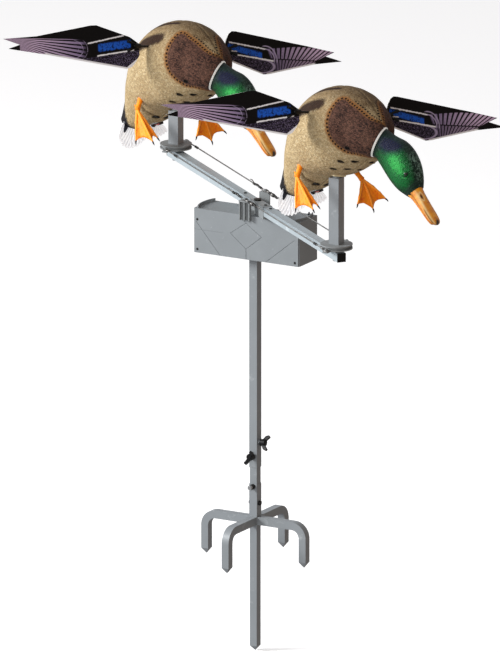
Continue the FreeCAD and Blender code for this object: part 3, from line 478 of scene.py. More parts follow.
# What is printed on each blade, in millimetres outboard from the root and up the chord.
PRINTS = {
    "right": dict(
        fan=(332, 9), quills=21, fan_start=128,
        quill_top=((134, 9), (190, 14)), tip=((189, 14), (327, 9)), notch=((285, -5), (327, 7)),
        wrist=(158, -12), wrist_squeeze=0.55, arc_pitch=8.5, arcs=(13, 31), arc_end=150,
        arc_top=((100, 2), (134, 9)), blue=((12, 5), (92, -7)), blue_half=8.6,
        lines=(((29, 23), (118, 2), 1.5), ((4, -9.5), (94, -25), 1.6)),
        covert=((5, -12), (93, -27)), covert_end=140,
        rims=(((21, -52), (224, -25)), ((-2, -34), (21, -52)))),
    "left": dict(
        fan=(146, -70), quills=6.2, tiers=-7.4, fan_start=118, fan_slant=0.55,
        quill_top=((112, 15), (190, 22)), tip=((190, 22), (300, 22)), notch=((238, -13), (279, 6)),
        wrist=(104, -13), arcs=(27, 34), arc_start=98, arc_half=1.3,
        tongue=(92, -25), tongue_squeeze=0.16, tongue_arc=15, tongue_start=90,
        blue=((-2, 16.5), (95, -1)), blue_half=6.6,
        lines=(((1, 26), (104, 14), 1.4), ((12, -0.5), (128, -12), 1.6), ((-8, 6.4), (24, 6), 1.0)),
        covert=((12, -3), (128, -14)), covert_end=134,
        rims=(((15, -20), (97, -44)), ((112, -43), (245, -15)))),
}
FAN_FADE_START, FAN_FADE_LENGTH = 130, 120
BACK_QUILLS = 27


def inside_tip(span, chord, plan):
    """Where quills may lie: below the blade's upper edges and clear of the notch in its forked tip."""
    top, notch = plan["quill_top"], plan["notch"]
    under_top = segment(span, chord, *top).below(0, 1.5).most(span.above(top[1][0], 2))
    under_tip = segment(span, chord, *plan["tip"]).below(0, 1.5)
    clear = segment(span, chord, *notch).above(0.3, 1).most(span.below(notch[0][0], 1))
    return under_top * under_tip * clear


def right_quills(span, chord, plan, rough):
    """Quills that spread back from the tip: where they lie and how light they are."""
    turn = fan_turn(span, chord, plan["fan"])
    quill = (turn * plan["quills"]).math("FRACT")
    there = turn.above(-0.012, 0.008) * span.above(plan["fan_start"], 16) * inside_tip(span, chord, plan)
    light = (quill.above(0.40, 0.14) * quill.below(0.96, 0.05)) * ((rough - 0.5) * 0.5 + 1)
    return there, light


def left_quills(span, chord, plan, rough):
    """Two tiers of broad quills that lean outboard: where they lie and how light they are."""
    turn = (span - plan["fan"][0]) / (chord - plan["fan"][1])
    tier = chord.below(plan["tiers"], 1.2)
    quill = (turn * plan["quills"] + tier * 0.5).math("FRACT")
    there = (span + chord * plan["fan_slant"]).above(plan["fan_start"], 6) * inside_tip(span, chord, plan)
    light = quill.above(0.34, 0.16) * quill.below(0.95, 0.06)
    light = light * (quill - 0.62).size().above(0.03, 0.04).most(chord.above(2, 6))
    light = light * (chord - plan["tiers"]).size().above(1.2, 1.2) * (tier * -0.25 + 1)
    return there, light * ((rough - 0.5) * 0.8 + 0.9)


def right_arcs(span, chord, plan, rough):
    """Ragged feather edges in rings round the wrist."""
    wrist = from_spot(span, chord, plan["wrist"], plan["wrist_squeeze"])
    first, last = plan["arcs"]
    arcs = ((wrist / plan["arc_pitch"] + (rough - 0.5) * 0.25).math("FRACT") - 0.5).size().below(0.06, 0.05)
    arcs = arcs * wrist.above(first, 4) * wrist.below(last, 5) * span.below(plan["arc_end"], 16)
    return arcs * segment(span, chord, *plan["arc_top"]).below(0, 3) * rough.above(0.42, 0.1)


def left_arcs(span, chord, plan, _):
    """Two smooth feather edges round the wrist, above the coverts, and one round the coverts' outer end."""
    wrist = from_spot(span, chord, plan["wrist"])
    inner, outer = ((wrist - reach).size().below(plan["arc_half"], 1) for reach in plan["arcs"])
    arcs = inner.most(outer) * span.above(plan["arc_start"], 8)
    arcs = arcs * segment(span, chord, *plan["covert"]).above(0, 2)
    tongue = from_spot(span, chord, plan["tongue"], plan["tongue_squeeze"]) - plan["tongue_arc"]
    return arcs.most(tongue.size().below(plan["arc_half"], 1.2) * span.above(plan["tongue_start"], 10))


DRAW_QUILLS = {"right": right_quills, "left": left_quills}
DRAW_ARCS = {"right": right_arcs, "left": left_arcs}


def wing_print(hand):
    """The printed side of a blade: black, a barred blue speculum, dark coverts and a fan of mauve quills."""
    plan = PRINTS[hand]
    paint = Paint(f"wing_print_{hand}", Roughness=0.5, Specular_IOR_Level=0.1)
    span, chord = paint.painted("span"), paint.painted("chord")
    fine = paint.noise(480, 3)
    rough = paint.noise(200, 4, 0.6)
    ragged = (rough - 0.5) * 6
    skin = paint.mix(rough, "#0A090A", "#171516")

    covert_row = segment(span, chord, *plan["covert"])
    coverts = covert_row.below(0, 2) * span.below(plan["covert_end"], 14)
    scale = feather_rows(covert_row * -1 + 60, span + ragged, *COVERT_FEATHER)
    plumes = paint.mix((scale + (rough - 0.5)).above(0.8, 0.4), "#14101A", "#453B55")
    plumes = paint.mix(fine.above(0.58, 0.1) * 0.55, plumes, "#9A8DAC")
    skin = paint.mix(coverts * 0.9, skin, plumes)

    quills, light = DRAW_QUILLS[hand](span, chord, plan, rough)
    outer = (span - FAN_FADE_START).math("DIVIDE", FAN_FADE_LENGTH, clamp=True)
    lit = paint.mix(outer, "#8A7A9E", "#DCC0DF")
    skin = paint.mix(quills, skin, paint.mix(light.clamped(), "#0D0B10", lit))
    skin = paint.mix(DRAW_ARCS[hand](span, chord, plan, rough) * 0.85, skin, "#B6A8C6")

    blue = stroke(span, chord, *plan["blue"], plan["blue_half"], 3.5, ragged)
    blue = blue * (rough.above(0.42, 0.12) * 0.9 + 0.1)
    skin = paint.mix(blue, skin, paint.mix(fine, "#0E3FA0", "#2E6FE0"))
    for start, end, half in plan["lines"]:
        skin = paint.mix(stroke(span, chord, start, end, half, 1.2, (rough - 0.5) * 3.4), skin, "#F6F4F8")
    for start, end in plan["rims"]:
        edge = segment(span, chord, start, end).below(3.4, 1.2)
        skin = paint.mix(edge * span.below(end[0], 6) * span.above(start[0] - 4, 4), skin, "#F6F4F8")
    paint.colour(skin)
    paint.relief(rough * 0.5 + fine * 0.5, 0.00025)
    return paint.material


def wing_back():
    """The flashing side of a blade: plain off-white film with faint quill lines."""
    paint = Paint("wing_flash_side", Roughness=0.5)
    span, chord = paint.painted("span"), paint.painted("chord")
    quill = ((fan_turn(span, chord, PRINTS["right"]["fan"]) * BACK_QUILLS).math("FRACT") - 0.5).size()
    skin = paint.mix(paint.noise(40, 3), "#DAD8D2", "#EFEEEA")
    lines = quill.below(0.05, 0.05) * span.above(PRINTS["right"]["fan_start"], 20)
    skin = paint.mix(lines * 0.5, skin, "#9C99A6")
    paint.colour(skin)
    paint.relief(paint.noise(500, 3), 0.00015)
    return paint.material


def twisted_steel():
    """Dull wire, dark in its worn spots."""
    paint = Paint("cable_strands", Metallic=1.0)
    wear = paint.noise(160, 4)
    paint.colour(paint.mix(wear, "#3C3A38", "#A9A7A4"))
    paint.rough(wear, 0.3, 0.55)
    paint.relief(paint.noise(900, 2), 0.0001)
    return paint.material


def rubber_black(name, roughness=0.45):
    return moulded_plastic(name, ("#080809", "#101011", "#2A2A2B"), roughness, specular=0.22)


def glass_eye():
    paint = Paint("duck_eye", Roughness=0.2, Coat_Weight=0.3, Coat_Roughness=0.1)
    paint.colour(paint.mix(paint.painted("across").above(0.72, 0.1), "#050403", "#3A2212"))
    return paint.material


FINISHES = {
    "powder_coat": coated_metal("mast_coating", ("#7B8083", "#878C90"), "#A9AEB0", 0.1, 0.45),
    "arm_metal": coated_metal("arm_coating", ("#99A2A6", "#ABB4B8"), "#DDE2E4", 0.22, 0.38, 700),
    "cast_grey": coated_metal("turntable_coating", ("#777B7C", "#868A8B"), "#AEB2B4", 0.1, 0.5),
    "box_plastic": moulded_plastic("box_moulding", ("#767B7E", "#818689", "#A1A6A8"), 0.5, 1100, 0.00012),
    "black_plastic": rubber_black("black_moulding"),
    "steel": bare_metal("plain_steel", ("#8C8C8C", "#C9C9C8"), 0.32, 220),
    "dark_steel": bare_metal("black_oxide_steel", ("#1E1D1D", "#4A4846"), 0.42, 220),
    "cable_steel": twisted_steel(),
    "body_paint": body_skin(),
    "head_paint": head_skin(),
    # The tail feathers and undertail coverts glow at 0.42 with painted light.
    "tail_paint": feather_skin("tail_feathers", "#FFFFFF", "#F2F2F5", "#B4B6BC", 0.42),
    "foot_paint": foot_skin(),
    "wing_print": wing_print("right"),
    "switch_red": moulded_plastic("red_rocker", ("#C21414", "#E02A20", "#FF6A55"), 0.3, coat=0.4),
    "battery_wrap": moulded_plastic("battery_sleeve", ("#1C3F7A", "#2A56A0", "#4E79BE"), 0.35),
    "board_green": moulded_plastic("circuit_board", ("#0F4A2A", "#17663B", "#2E8A57"), 0.4),
    "brass_gear": bare_metal("gear_brass", ("#A77B2C", "#D2A650"), 0.3, 160),
}
BILL = bill_skin()
BLACK = rubber_black("claw_black", 0.35)
DARK_FEATHER = feather_skin("dark_feathers", "#1B1C22", "#2C2F3A", "#55586A")
LEFT_PRINT = wing_print("left")
FLASH = wing_back()
EYE = glass_eye()
# The neck ring glows at 0.25 with painted light.
RING = feather_skin("neck_ring_feathers", "#FFFFFF", "#F4F3EE", "#C9C6BB", 0.25)
CREAM = moulded_plastic("socket_cream", ("#CDBB8E", "#DCCDA5", "#EDE3C8"), 0.5)


def finish_cad_nodes():
    """Every CAD node takes its slot's finish."""
    for part in frame["record"]["subparts"]:
        mesh = frame["nodes"][part["node"]].data
        mesh.materials.clear()
        mesh.materials.append(FINISHES[part["material_slot"]])


finish_cad_nodes()


# ---- meshes -------------------------------------------------------------------------------------------

class Build:
    """One piece's mesh, gathered from grids; points are rows of (x, y, z) in millimetres."""

    def __init__(self):
        self.points, self.faces, self.which, self.values = [], [], [], {}
        self.count = 0

    def add(self, points, faces, material=0, **values):
        points = np.asarray(points, float).reshape(-1, 3)
        for name in set(self.values) | set(values):
            column = self.values.setdefault(name, [np.zeros(self.count)] if self.count else [])
            given = values.get(name, np.zeros(len(points)))
            column.append(np.broadcast_to(np.asarray(given, float).ravel(), (len(points),)))
        self.points.append(points)
        self.faces += [tuple(corner + self.count for corner in face) for face in faces]
        self.which += [material] * len(faces)
        self.count += len(points)

    def grid(self, points, closed=False, caps=(False, False), material=0, **values):
        """A sheet of quads over rows of points; closed joins each row's end to its start."""
        rows, columns = points.shape[:2]
        last = columns if closed else columns - 1
        faces = [(row * columns + column, row * columns + (column + 1) % columns,
                  (row + 1) * columns + (column + 1) % columns, (row + 1) * columns + column)
                 for row in range(rows - 1) for column in range(last)]
        if caps[0]:
            faces.append(tuple(range(columns))[::-1])
        if caps[1]:
            faces.append(tuple((rows - 1) * columns + column for column in range(columns)))
        self.add(points, faces, material, **values)

    def tube(self, path, radii, sides=10, material=0, flat=1.0, **values):
        """A closed rod along a path, with a radius at each point; flat below 1 makes it oval."""
        path = np.asarray(path, float)
        radii = np.broadcast_to(np.asarray(radii, float), (len(path),))
        ahead = unit(np.gradient(path, axis=0))
        guide = np.array([0.0, 0.0, 1.0]) if abs(ahead[0][2]) < 0.9 else np.array([1.0, 0.0, 0.0])
        rings, turns = [], full_turn(sides)
        for centre, way, radius in zip(path, ahead, radii):
            side = unit(np.cross(guide, way))
            guide = np.cross(way, side)
            ring = np.outer(np.cos(turns), side) + np.outer(np.sin(turns), guide) * flat
            rings.append(centre + radius * ring)
        self.grid(np.array(rings), True, (True, True), material, **values)

    def piece(self, name, materials, body, replaced=(), place=None, slot=None, smooth=True):
        """Make the mesh object, put it in place and let it ride on its body."""
        mesh = bpy.data.meshes.new(name)
        mesh.from_pydata((np.vstack(self.points) * MM).tolist(), [], self.faces)
        mesh.update()
        for material in materials:
            mesh.materials.append(material)
        mesh.polygons.foreach_set("material_index", self.which)
        mesh.polygons.foreach_set("use_smooth", [smooth] * len(mesh.polygons))
        for label, columns in self.values.items():
            layer = mesh.attributes.new(label, "FLOAT", "POINT")
            layer.data.foreach_set("value", np.concatenate(columns).astype(np.float32))
        thing = bpy.data.objects.new(name, mesh)
        bpy.context.scene.collection.objects.link(thing)
        if place is not None:
            thing.matrix_world = place
        bpy.context.view_layer.update()
        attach(thing, body)
        if replaced:
            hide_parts(*replaced)
        return thing


def outward(thing):
    """Turn every face of a closed mesh to face out."""
    work = bmesh.new()
    work.from_mesh(thing.data)
    bmesh.ops.recalc_face_normals(work, faces=work.faces)
    work.to_mesh(thing.data)
    work.free()
    return thing


def thicken(thing, name, millimetres, offset, edge_slot=0):
    """Give a sheet a wall; edge_slot is the material of its other side and rim."""
    wall = thing.modifiers.new(name, "SOLIDIFY")
    wall.thickness = millimetres * MM
    wall.offset = offset
    wall.material_offset = wall.material_offset_rim = edge_slot


def unit(way):
    """The same direction at a length of 1, for one vector or rows of them."""
    return way / np.linalg.norm(way, axis=-1, keepdims=True)


def ease(share):
    """From 0 to 1 with no corner at either end."""
    return share * share * (3 - 2 * share)


def full_turn(count):
    """Evenly spaced angles once round."""
    return np.linspace(0, 2 * math.pi, count, endpoint=False)


def duck_piece(build, label, name, materials, place, slot, replaced=(), body="duck"):
    """A closed piece that rides on a duck or on its wings, with every face turned out."""
    outward(build.piece(f"{label}_{name}", materials, f"{label}_{body}", replaced, place, slot))


def smooth_rows(stations, places):
    """Values at fractional places along a list of stations, on a curve through all of them."""
    stations = np.asarray(stations, float)
    last = len(stations) - 1
    at = np.clip(np.floor(places).astype(int), 0, last - 1)
    part = (np.asarray(places) - at)[:, None]
    before, start = stations[np.maximum(at - 1, 0)], stations[at]
    end, after = stations[at + 1], stations[np.minimum(at + 2, last)]
    return 0.5 * (2 * start + (end - before) * part + (2 * before - 5 * start + 4 * end - after) * part ** 2
                  + (3 * start - before - 3 * end + after) * part ** 3)


def bell(distance, width):
    """1 at no distance, falling smoothly to 0 past a width."""
    return np.exp(-(distance / width) ** 2)


def to_segment(points, start, end):
    """Distance from each point to a straight segment."""
    start, end = np.array(start, float), np.array(end, float)
    way = end - start
    share = np.clip(((points - start) @ way) / (way @ way), 0, 1)
    return np.linalg.norm(points - start - share[..., None] * way, axis=-1)


# ---- duck: body ---------------------------------------------------------------------------------------

# Each station: x, z, half width, half height, lean of the section (degrees), as the CAD body has them,
# save that the last one is 2 mm wider on each side.
BODY_STATIONS = [
    (153, 110, 35.5, 35, 16), (130, 112, 51, 50, 13), (88, 112, 72, 74, 5), (34, 107, 90, 93.5, -1),
    (-24, 95, 94, 97, -12), (-74, 64, 84, 87, -27), (-118, 8, 60, 68, -40), (-150, -34, 38, 42, -47),
    (-172, -66, 31, 20, -50),
]
NECK_SWING, NECK_SWING_STATIONS = 43, 1.5
SHELL_WALL = 2.4
BODY_ROWS, BODY_COLUMNS = 210, 120
SEARCH_POINTS, SEARCH_BATCH = 700, 4000
# Chest patch outline as (station, degrees down from the spine); the two sides differ along the spine.
PATCH_REAR = {-1: [(2.62, 55), (2.48, 78), (2.15, 99), (1.70, 115), (1.33, 127), (0.68, 140), (-0.1, 178)],
              1: [(2.40, 55), (2.30, 78), (2.05, 99), (1.65, 115), (1.30, 127), (0.68, 140), (-0.1, 178)]}
PATCH_SPINE = {-1: [(-0.1, 1), (0.33, 3), (0.9, 25), (1.58, 30), (2.15, 32), (2.62, 33)],
               1: [(-0.1, 1), (0.4, 3), (0.9, 11), (1.45, 16), (1.95, 21), (2.25, 32)]}
# Sunk screws as (station, degrees down from the spine), the same on both sides.
SCREW_HOLES = [(1.33, 117), (2.10, 145), (1.50, 160), (2.83, 155), (2.33, 169), (5.62, 169)]
SCREW_STRETCH = 1.9
# Lines on the body's surface: point lists in millimetres, with +Y on either side of the spine.
THIGH = [(-52, 62, 22), (-20, 66, 14)]
GROIN = [(-58, 61, -2), (-61, 42, -22), (-50, 8, -34)]
SHOULDER = [(6, 101, 123), (40, 98, 112)]
WING_SMUDGE = [(-54, 90, 131), (12, 82, 166)]
BACK_SMUDGE = [(-62, 56, 168), (10, 30, 198)]
PALE_SPOT = [(-8, 98, 134), (10, 96, 134)]
# The belly's pale streak, which isn't mirrored.
BELLY_START, BELLY_END = (-88, 14, -52), (-114, 20, -64)


def body_points(stations, degrees):
    """Points of the body's outer surface; degrees run down from the spine, positive on the duck's left."""
    values = smooth_rows(BODY_STATIONS, np.ravel(stations)).reshape(*np.shape(stations), 5)
    x, z, wide, tall, lean = np.moveaxis(values, -1, 0)
    lean, turn = np.radians(lean), np.radians(degrees)
    along, across = np.sin(lean) * tall * np.cos(turn), wide * np.sin(turn)
    share = np.clip(1 - np.asarray(stations, float) / NECK_SWING_STATIONS, 0, 1)
    swing = math.radians(NECK_SWING) * ease(share)
    return np.stack([x + along * np.cos(swing) - across * np.sin(swing),
                     along * np.sin(swing) + across * np.cos(swing),
                     z + np.cos(lean) * tall * np.cos(turn)], -1)


def screw_slant(side):
    """The long way of a screw hole's oval."""
    return np.array([0.5, -0.855 * side, 0.135])


def to_line(points, line, side):
    """Distance from each point to a line of the body's surface, on one side of the spine."""
    corners = [(x, y * side, z) for x, y, z in line]
    return np.minimum.reduce([to_segment(points, *ends) for ends in zip(corners, corners[1:])])


def patch_fields(side, stations, degrees, points):
    """Signed distance to the chest patch's outline and the length along it, in millimetres."""
    outline = np.array(PATCH_SPINE[side] + PATCH_REAR[side], float)
    ticks = np.linspace(0, len(outline) - 1, SEARCH_POINTS)
    at = smooth_rows(outline, ticks)
    line = body_points(at[:, 0], at[:, 1] * side)
    length = np.concatenate([[0], np.cumsum(np.linalg.norm(np.diff(line, axis=0), axis=1))])
    flat = points.reshape(-1, 3)
    distance, along = np.empty(len(flat)), np.empty(len(flat))
    for first in range(0, len(flat), SEARCH_BATCH):
        batch = slice(first, first + SEARCH_BATCH)
        gaps = np.linalg.norm(flat[batch, None] - line[None], axis=2)
        distance[batch] = gaps.min(1)
        along[batch] = length[gaps.argmin(1)]
    u, v = stations.ravel(), degrees.ravel() * side
    inside = np.zeros(len(flat), bool)
    ring = np.vstack([at, [(-0.5, 178), (-0.5, 1)]])
    for (u1, v1), (u2, v2) in zip(ring, np.roll(ring, -1, axis=0)):
        crosses = (v1 > v) != (v2 > v)
        with np.errstate(divide="ignore", invalid="ignore"):
            inside ^= crosses & (u < (u2 - u1) * (v - v1) / (v2 - v1) + u1)
    return np.where(inside, -distance, distance), along


def body_relief(points, degrees, seam, fold, shoulder, side):
    """How far each point rises along its normal, and where the screw holes are, for painted shade in them."""
    rise = 4.2 * bell(to_line(points, THIGH, side), 30) - 1.6 * bell(seam, 2.4)
    rise += -5.0 * bell(fold, 4.5) - 3.4 * bell(shoulder, 5)
    rise += 0.35 * np.sin(points[..., 0] * 0.21 + 3 * np.sin(points[..., 2] * 0.06)) * np.sin(degrees * 0.13)
    hollow = np.zeros(points.shape[:2])
    for station, turn in SCREW_HOLES:
        gap = points - body_points(np.array([station]), np.array([turn * side]))[0]
        along_slant = gap @ screw_slant(side)
        reach = np.sqrt(np.sum(gap * gap, -1) - along_slant ** 2 * (1 - 1 / SCREW_STRETCH ** 2))
        rise += -4.0 * bell(reach, 3.6) + 0.7 * bell(reach - 5.6, 1.2)
        # The skin in and round each screw hole takes painted shade.
        hollow = np.maximum(hollow, np.clip((5.9 - reach) / 1.4, 0, 1))
    return rise, hollow


def duck_body(label, side, place):
    """One half of the skin, on one side of the spine."""
    stations = np.repeat(np.linspace(0, len(BODY_STATIONS) - 1, BODY_ROWS)[:, None], BODY_COLUMNS, 1)
    degrees = np.repeat(np.linspace(0, 180, BODY_COLUMNS)[None], BODY_ROWS, 0) * side
    points = body_points(stations, degrees)
    normal = unit(np.cross(np.gradient(points, axis=0), np.gradient(points, axis=1))) * -side
    edge, along = patch_fields(side, stations, degrees, points)

    seam = np.minimum(np.abs(points[..., 1]), 50)
    fold, shoulder = to_line(points, GROIN, side), to_line(points, SHOULDER, side)
    rise, hollow = body_relief(points, degrees, seam, fold, shoulder, side)
    points = points + normal * rise[..., None]

    smudge = 1.3 - to_line(points, WING_SMUDGE, side) / 22
    ridge = 1.1 - to_line(points, BACK_SMUDGE, side) / 11
    pale = 1.1 - to_line(points, PALE_SPOT, side) / 7
    belly = 1.25 - to_segment(points, BELLY_START, BELLY_END) / 18
    rump = (stations - 6.35) * 0.8 + np.cos(np.radians(degrees)) * 0.55 - 0.1
    build = Build()
    down = np.abs(degrees)
    build.grid(points, patch_edge=edge, patch_along=along, stitched=np.clip((stations - 0.45) * 4, 0, 1),
               smudge=np.clip(np.maximum(smudge, ridge), 0, 1.2),
               pale=np.clip(np.maximum(pale, belly), 0, 1.2),
               # Painted shade in the screw holes, and a dark line along the seam.
               rump=np.clip(rump, 0, 1), hollow=np.maximum(hollow, 0.8 * (seam < 1.2) * (stations > 0.2)),
               # Painted shade in the thigh fold and along the shoulder line.
               crease=np.maximum(bell(fold, 5), bell(shoulder, 5)),
               upper=np.clip(1.25 - down / 66, 0, 1) * np.clip(stations - 0.8, 0, 1),
               double_stitched=np.clip(1.6 - down / 45, 0, 1) * (stations > 0.5) * (stations < 2.2),
               reach=stations * 45, girth=down * 1.4)
    name = "left" if side > 0 else "right"
    thing = build.piece(f"{label}_{name}_body", [FINISHES["body_paint"]], f"{label}_duck",
                        [f"{label}_{name}_shell"], place, "body_paint")
    row = column = 60
    if np.array(thing.data.polygons[row * BODY_COLUMNS + column].normal) @ normal[row, column] < 0:
        thing.data.flip_normals()
    thicken(thing, "wall", SHELL_WALL, -1)


# ---- duck: neck ring, head, bill and eyes -------------------------------------------------------------

# Distance along the line of the neck, rise above it, half width, half height, from the neck ring to the
# bill's root; the CAD head has them within 1 mm.
HEAD_STATIONS = [
    (0, 0, 34.5, 34), (22, 7, 31, 34), (44, 12, 32, 40), (68, 12, 34, 43), (92, 9, 34, 42),
    (114, 5, 31, 37), (134, 1, 23.5, 28), (146, -2.5, 18.5, 20),
]
NECK = np.array([153, 0, 110.0])
NECK_LEAN, HEAD_YAW, HEAD_PITCH = 16, 25, 36
NECK_SETTLE = 40
HEAD_TURN = (Matrix.Rotation(math.radians(HEAD_YAW), 3, "Z")
             @ Matrix.Rotation(math.radians(HEAD_PITCH), 3, "Y"))
HEAD_AHEAD, HEAD_LEFT, HEAD_UP = (np.array(column) for column in HEAD_TURN.col)
NECK_TURN = Matrix.Rotation(math.radians(NECK_SWING), 3, "Z")
NECK_SLOPE = math.radians(NECK_LEAN)
NECK_UP = np.array(NECK_TURN @ Vector((math.sin(NECK_SLOPE), 0, math.cos(NECK_SLOPE))))
NECK_LEFT = np.array(NECK_TURN @ Vector((0, 1, 0)))
NECK_AHEAD = np.cross(NECK_LEFT, NECK_UP)


def head_point(distance, rise, left, up):
    """A point of the head's own axes, in the duck's frame; sections turn from the body's end to the line."""
    distance, rise, left, up = (np.asarray(value, float)[..., None] for value in (distance, rise, left, up))
    settle = ease(np.clip(distance / NECK_SETTLE, 0, 1))
    across = NECK_LEFT * (1 - settle) + HEAD_LEFT * settle
    above = NECK_UP * (1 - settle) + HEAD_UP * settle
    return NECK + HEAD_AHEAD * distance + HEAD_UP * rise + across * left + above * up


def head_sections(stations, count, turn):
    """Distance, rise, half width and half height for a grid of rows by angles."""
    rows = smooth_rows(stations, np.linspace(0, len(stations) - 1, count))
    return [column[:, None] * np.ones(len(turn)) for column in rows.T]


def duck_head(label, place):
    """The head from the neck ring to the bill's root, with cheeks and hollow temples."""
    turn = full_turn(112)
    d, rise, wide, tall = head_sections(HEAD_STATIONS, 110, turn)
    low = np.abs(np.degrees(turn) - 180) * np.ones(d.shape)
    spine = 180 - low
    cheek = bell(d - 92, 24) * bell(low - 80, 28)
    temple = bell(d - 114, 14) * bell(spine - 62, 14)
    swell = 1 + 0.035 * cheek - 0.05 * temple
    points = head_point(d, rise, wide * np.sin(turn) * swell, tall * np.cos(turn) * swell)
    glow = np.maximum(bell(low - 92, 54) * bell(d - 84, 58) * 1.35,
                      0.6 * bell(low - 60, 50) * bell(d - 60, 60))
    # Where the painted highlight lies on each cheek.
    shine = bell(low - 100, 26) * bell(d - 80, 40)
    nape = np.clip(1.75 - spine / 72, 0, 1) * np.clip(1.9 - d / 44, 0, 1)
    crown = np.clip(1.25 - spine / 40, 0, 1) + np.clip((d - 126) / 14, 0, 1) + np.clip(0.9 - d / 30, 0, 1)
    build = Build()
    build.grid(points, True, (True, True), glow=glow, shine=shine, nape=np.clip(nape, 0, 1),
               # Where painted highlights glint along the crown.
               crown=np.clip(crown, 0, 1), fleck=bell(spine - 14, 20) * bell(d - 108, 30), reach=d,
               girth=spine * 0.62)
    duck_piece(build, label, "head_skin", [FINISHES["head_paint"]], place, "head_paint", [f"{label}_head"])


NECK_HALF_WIDE, NECK_HALF_TALL = 35.5, 35
RING_SCALLOP, RING_SCALLOPS = 0.8, 48
# The ring's section: distance ahead of the neck's end, height above the skin, share of the scallop.
RING_PROFILE = [(-2.6, -0.8, -0.7), (-2.4, 0.5, -0.7), (-0.5, 1.3, 0), (2.2, 1.2, 0), (3.6, 0.3, 1),
                (3.4, -1.2, 1)]


def neck_ring(label, place):
    """The white collar: a raised band whose edges are scalloped."""
    turn = full_turn(288)
    scallop = RING_SCALLOP * np.abs(np.sin(turn * RING_SCALLOPS / 2))
    rings = []
    for ahead, out, share in RING_PROFILE:
        shape = (np.outer((NECK_HALF_WIDE + out) * np.sin(turn), NECK_LEFT)
                 + np.outer((NECK_HALF_TALL + out) * np.cos(turn), NECK_UP))
        rings.append(NECK + shape + np.outer(ahead + scallop * share, NECK_AHEAD))
    build = Build()
    stacked = np.array(rings + [rings[0]])
    across = np.linspace(-0.6, 0.6, len(stacked))[:, None] * np.ones(len(turn))
    build.grid(stacked, True, across=across, reach=turn * NECK_HALF_TALL * np.ones(across.shape))
    duck_piece(build, label, "neck_ring", [RING], place, "head_paint")


BILL_STATIONS = [
    (136, -2, 18.8, 18.5), (146, -3.5, 18.8, 16), (158, -4.5, 18.0, 13.6), (176, -6.5, 18.4, 11.6),
    (198, -9.0, 19.6, 9.6), (214, -10.8, 19.8, 8.6), (225, -12, 17.6, 7.4), (231, -12.8, 12.6, 5.4),
    (234, -13.6, 5.0, 2.2),
]
LOWER_END = 228
NOSTRIL_AT, NOSTRIL_APART, NOSTRIL_LENGTH, NOSTRIL_WIDTH = 166, 8.6, 7.0, 3.2


def upper_mandible(build, turn):
    """Flat below, with a ridge, two nostrils, a nail at the tip and a dark mouth line."""
    d, rise, wide, tall = head_sections(BILL_STATIONS, 60, turn)
    side, height = np.sin(turn), np.cos(turn)
    full = np.sign(height) * np.abs(height) ** 0.9
    up = tall * np.where(full > 0, full, full * 0.35) - tall * 0.14 * np.abs(side) ** 3
    nostril, rims = np.zeros(d.shape), np.zeros(d.shape)
    for hand in (-1, 1):
        gap = np.hypot((d - NOSTRIL_AT) / NOSTRIL_LENGTH,
                       (wide * side - hand * NOSTRIL_APART) / NOSTRIL_WIDTH)
        nostril = np.maximum(nostril, bell(gap, 0.8) * (height > 0))
        rims = np.maximum(rims, bell(gap - 1.35, 0.35) * (height > 0))
    nail = bell(d - 231, 5.5) * bell(wide * side, 5.5)
    ridge = bell(np.abs(side) - 0.8, 0.13) * (height > 0) * np.clip((d - 142) / 20, 0, 1)
    lip = bell(np.abs(side) - 1, 0.10) * bell(height + 0.12, 0.22)
    grin = bell(height - 0.38, 0.11) * (np.abs(side) > 0.5) * np.clip((d - 186) / 14, 0, 1) * (d < 229)
    dark = np.clip(nostril * 1.3 + nail * 1.6 + np.maximum(lip, grin) * 0.8, 0, 1)
    # The ridge and the nostril rims carry a painted highlight.
    build.grid(head_point(d, rise, wide * side, up - 2.0 * nostril), True, (True, True), reach=d,
               pale=np.maximum(ridge, rims), dark=dark)


def lower_mandible(build, turn):
    """A slimmer, shorter and darker copy of the upper one, set below it."""
    d, rise, wide, tall = head_sections(BILL_STATIONS, 60, turn)
    d, rise, wide, tall = np.minimum(d, LOWER_END), rise - tall * 0.62, wide * 0.86, tall * 0.45
    side, height = np.sin(turn), np.cos(turn)
    ridge = bell(np.abs(side) - 0.8, 0.13) * (height > 0) * np.clip((d - 142) / 20, 0, 1)
    # The lower ridge carries a painted highlight too.
    build.grid(head_point(d, rise, wide * side, tall * height), True, (True, True), reach=d, pale=ridge,
               dark=0.25)


def duck_bill(label, place):
    """Both mandibles as one piece."""
    build, turn = Build(), full_turn(72)
    upper_mandible(build, turn)
    lower_mandible(build, turn)
    duck_piece(build, label, "bill", [BILL], place, "head_paint")


EYE_REACH, EYE_TURN, EYE_RADIUS, EYE_SINK = 109, 70, 3.7, 0.93
# The lid's section round the eye: radius and height.
LID_PROFILE = [(4.0, 1.0), (4.6, 1.6), (5.6, 1.3), (6.6, 0.0), (5.4, -1.6), (4.0, 1.0)]


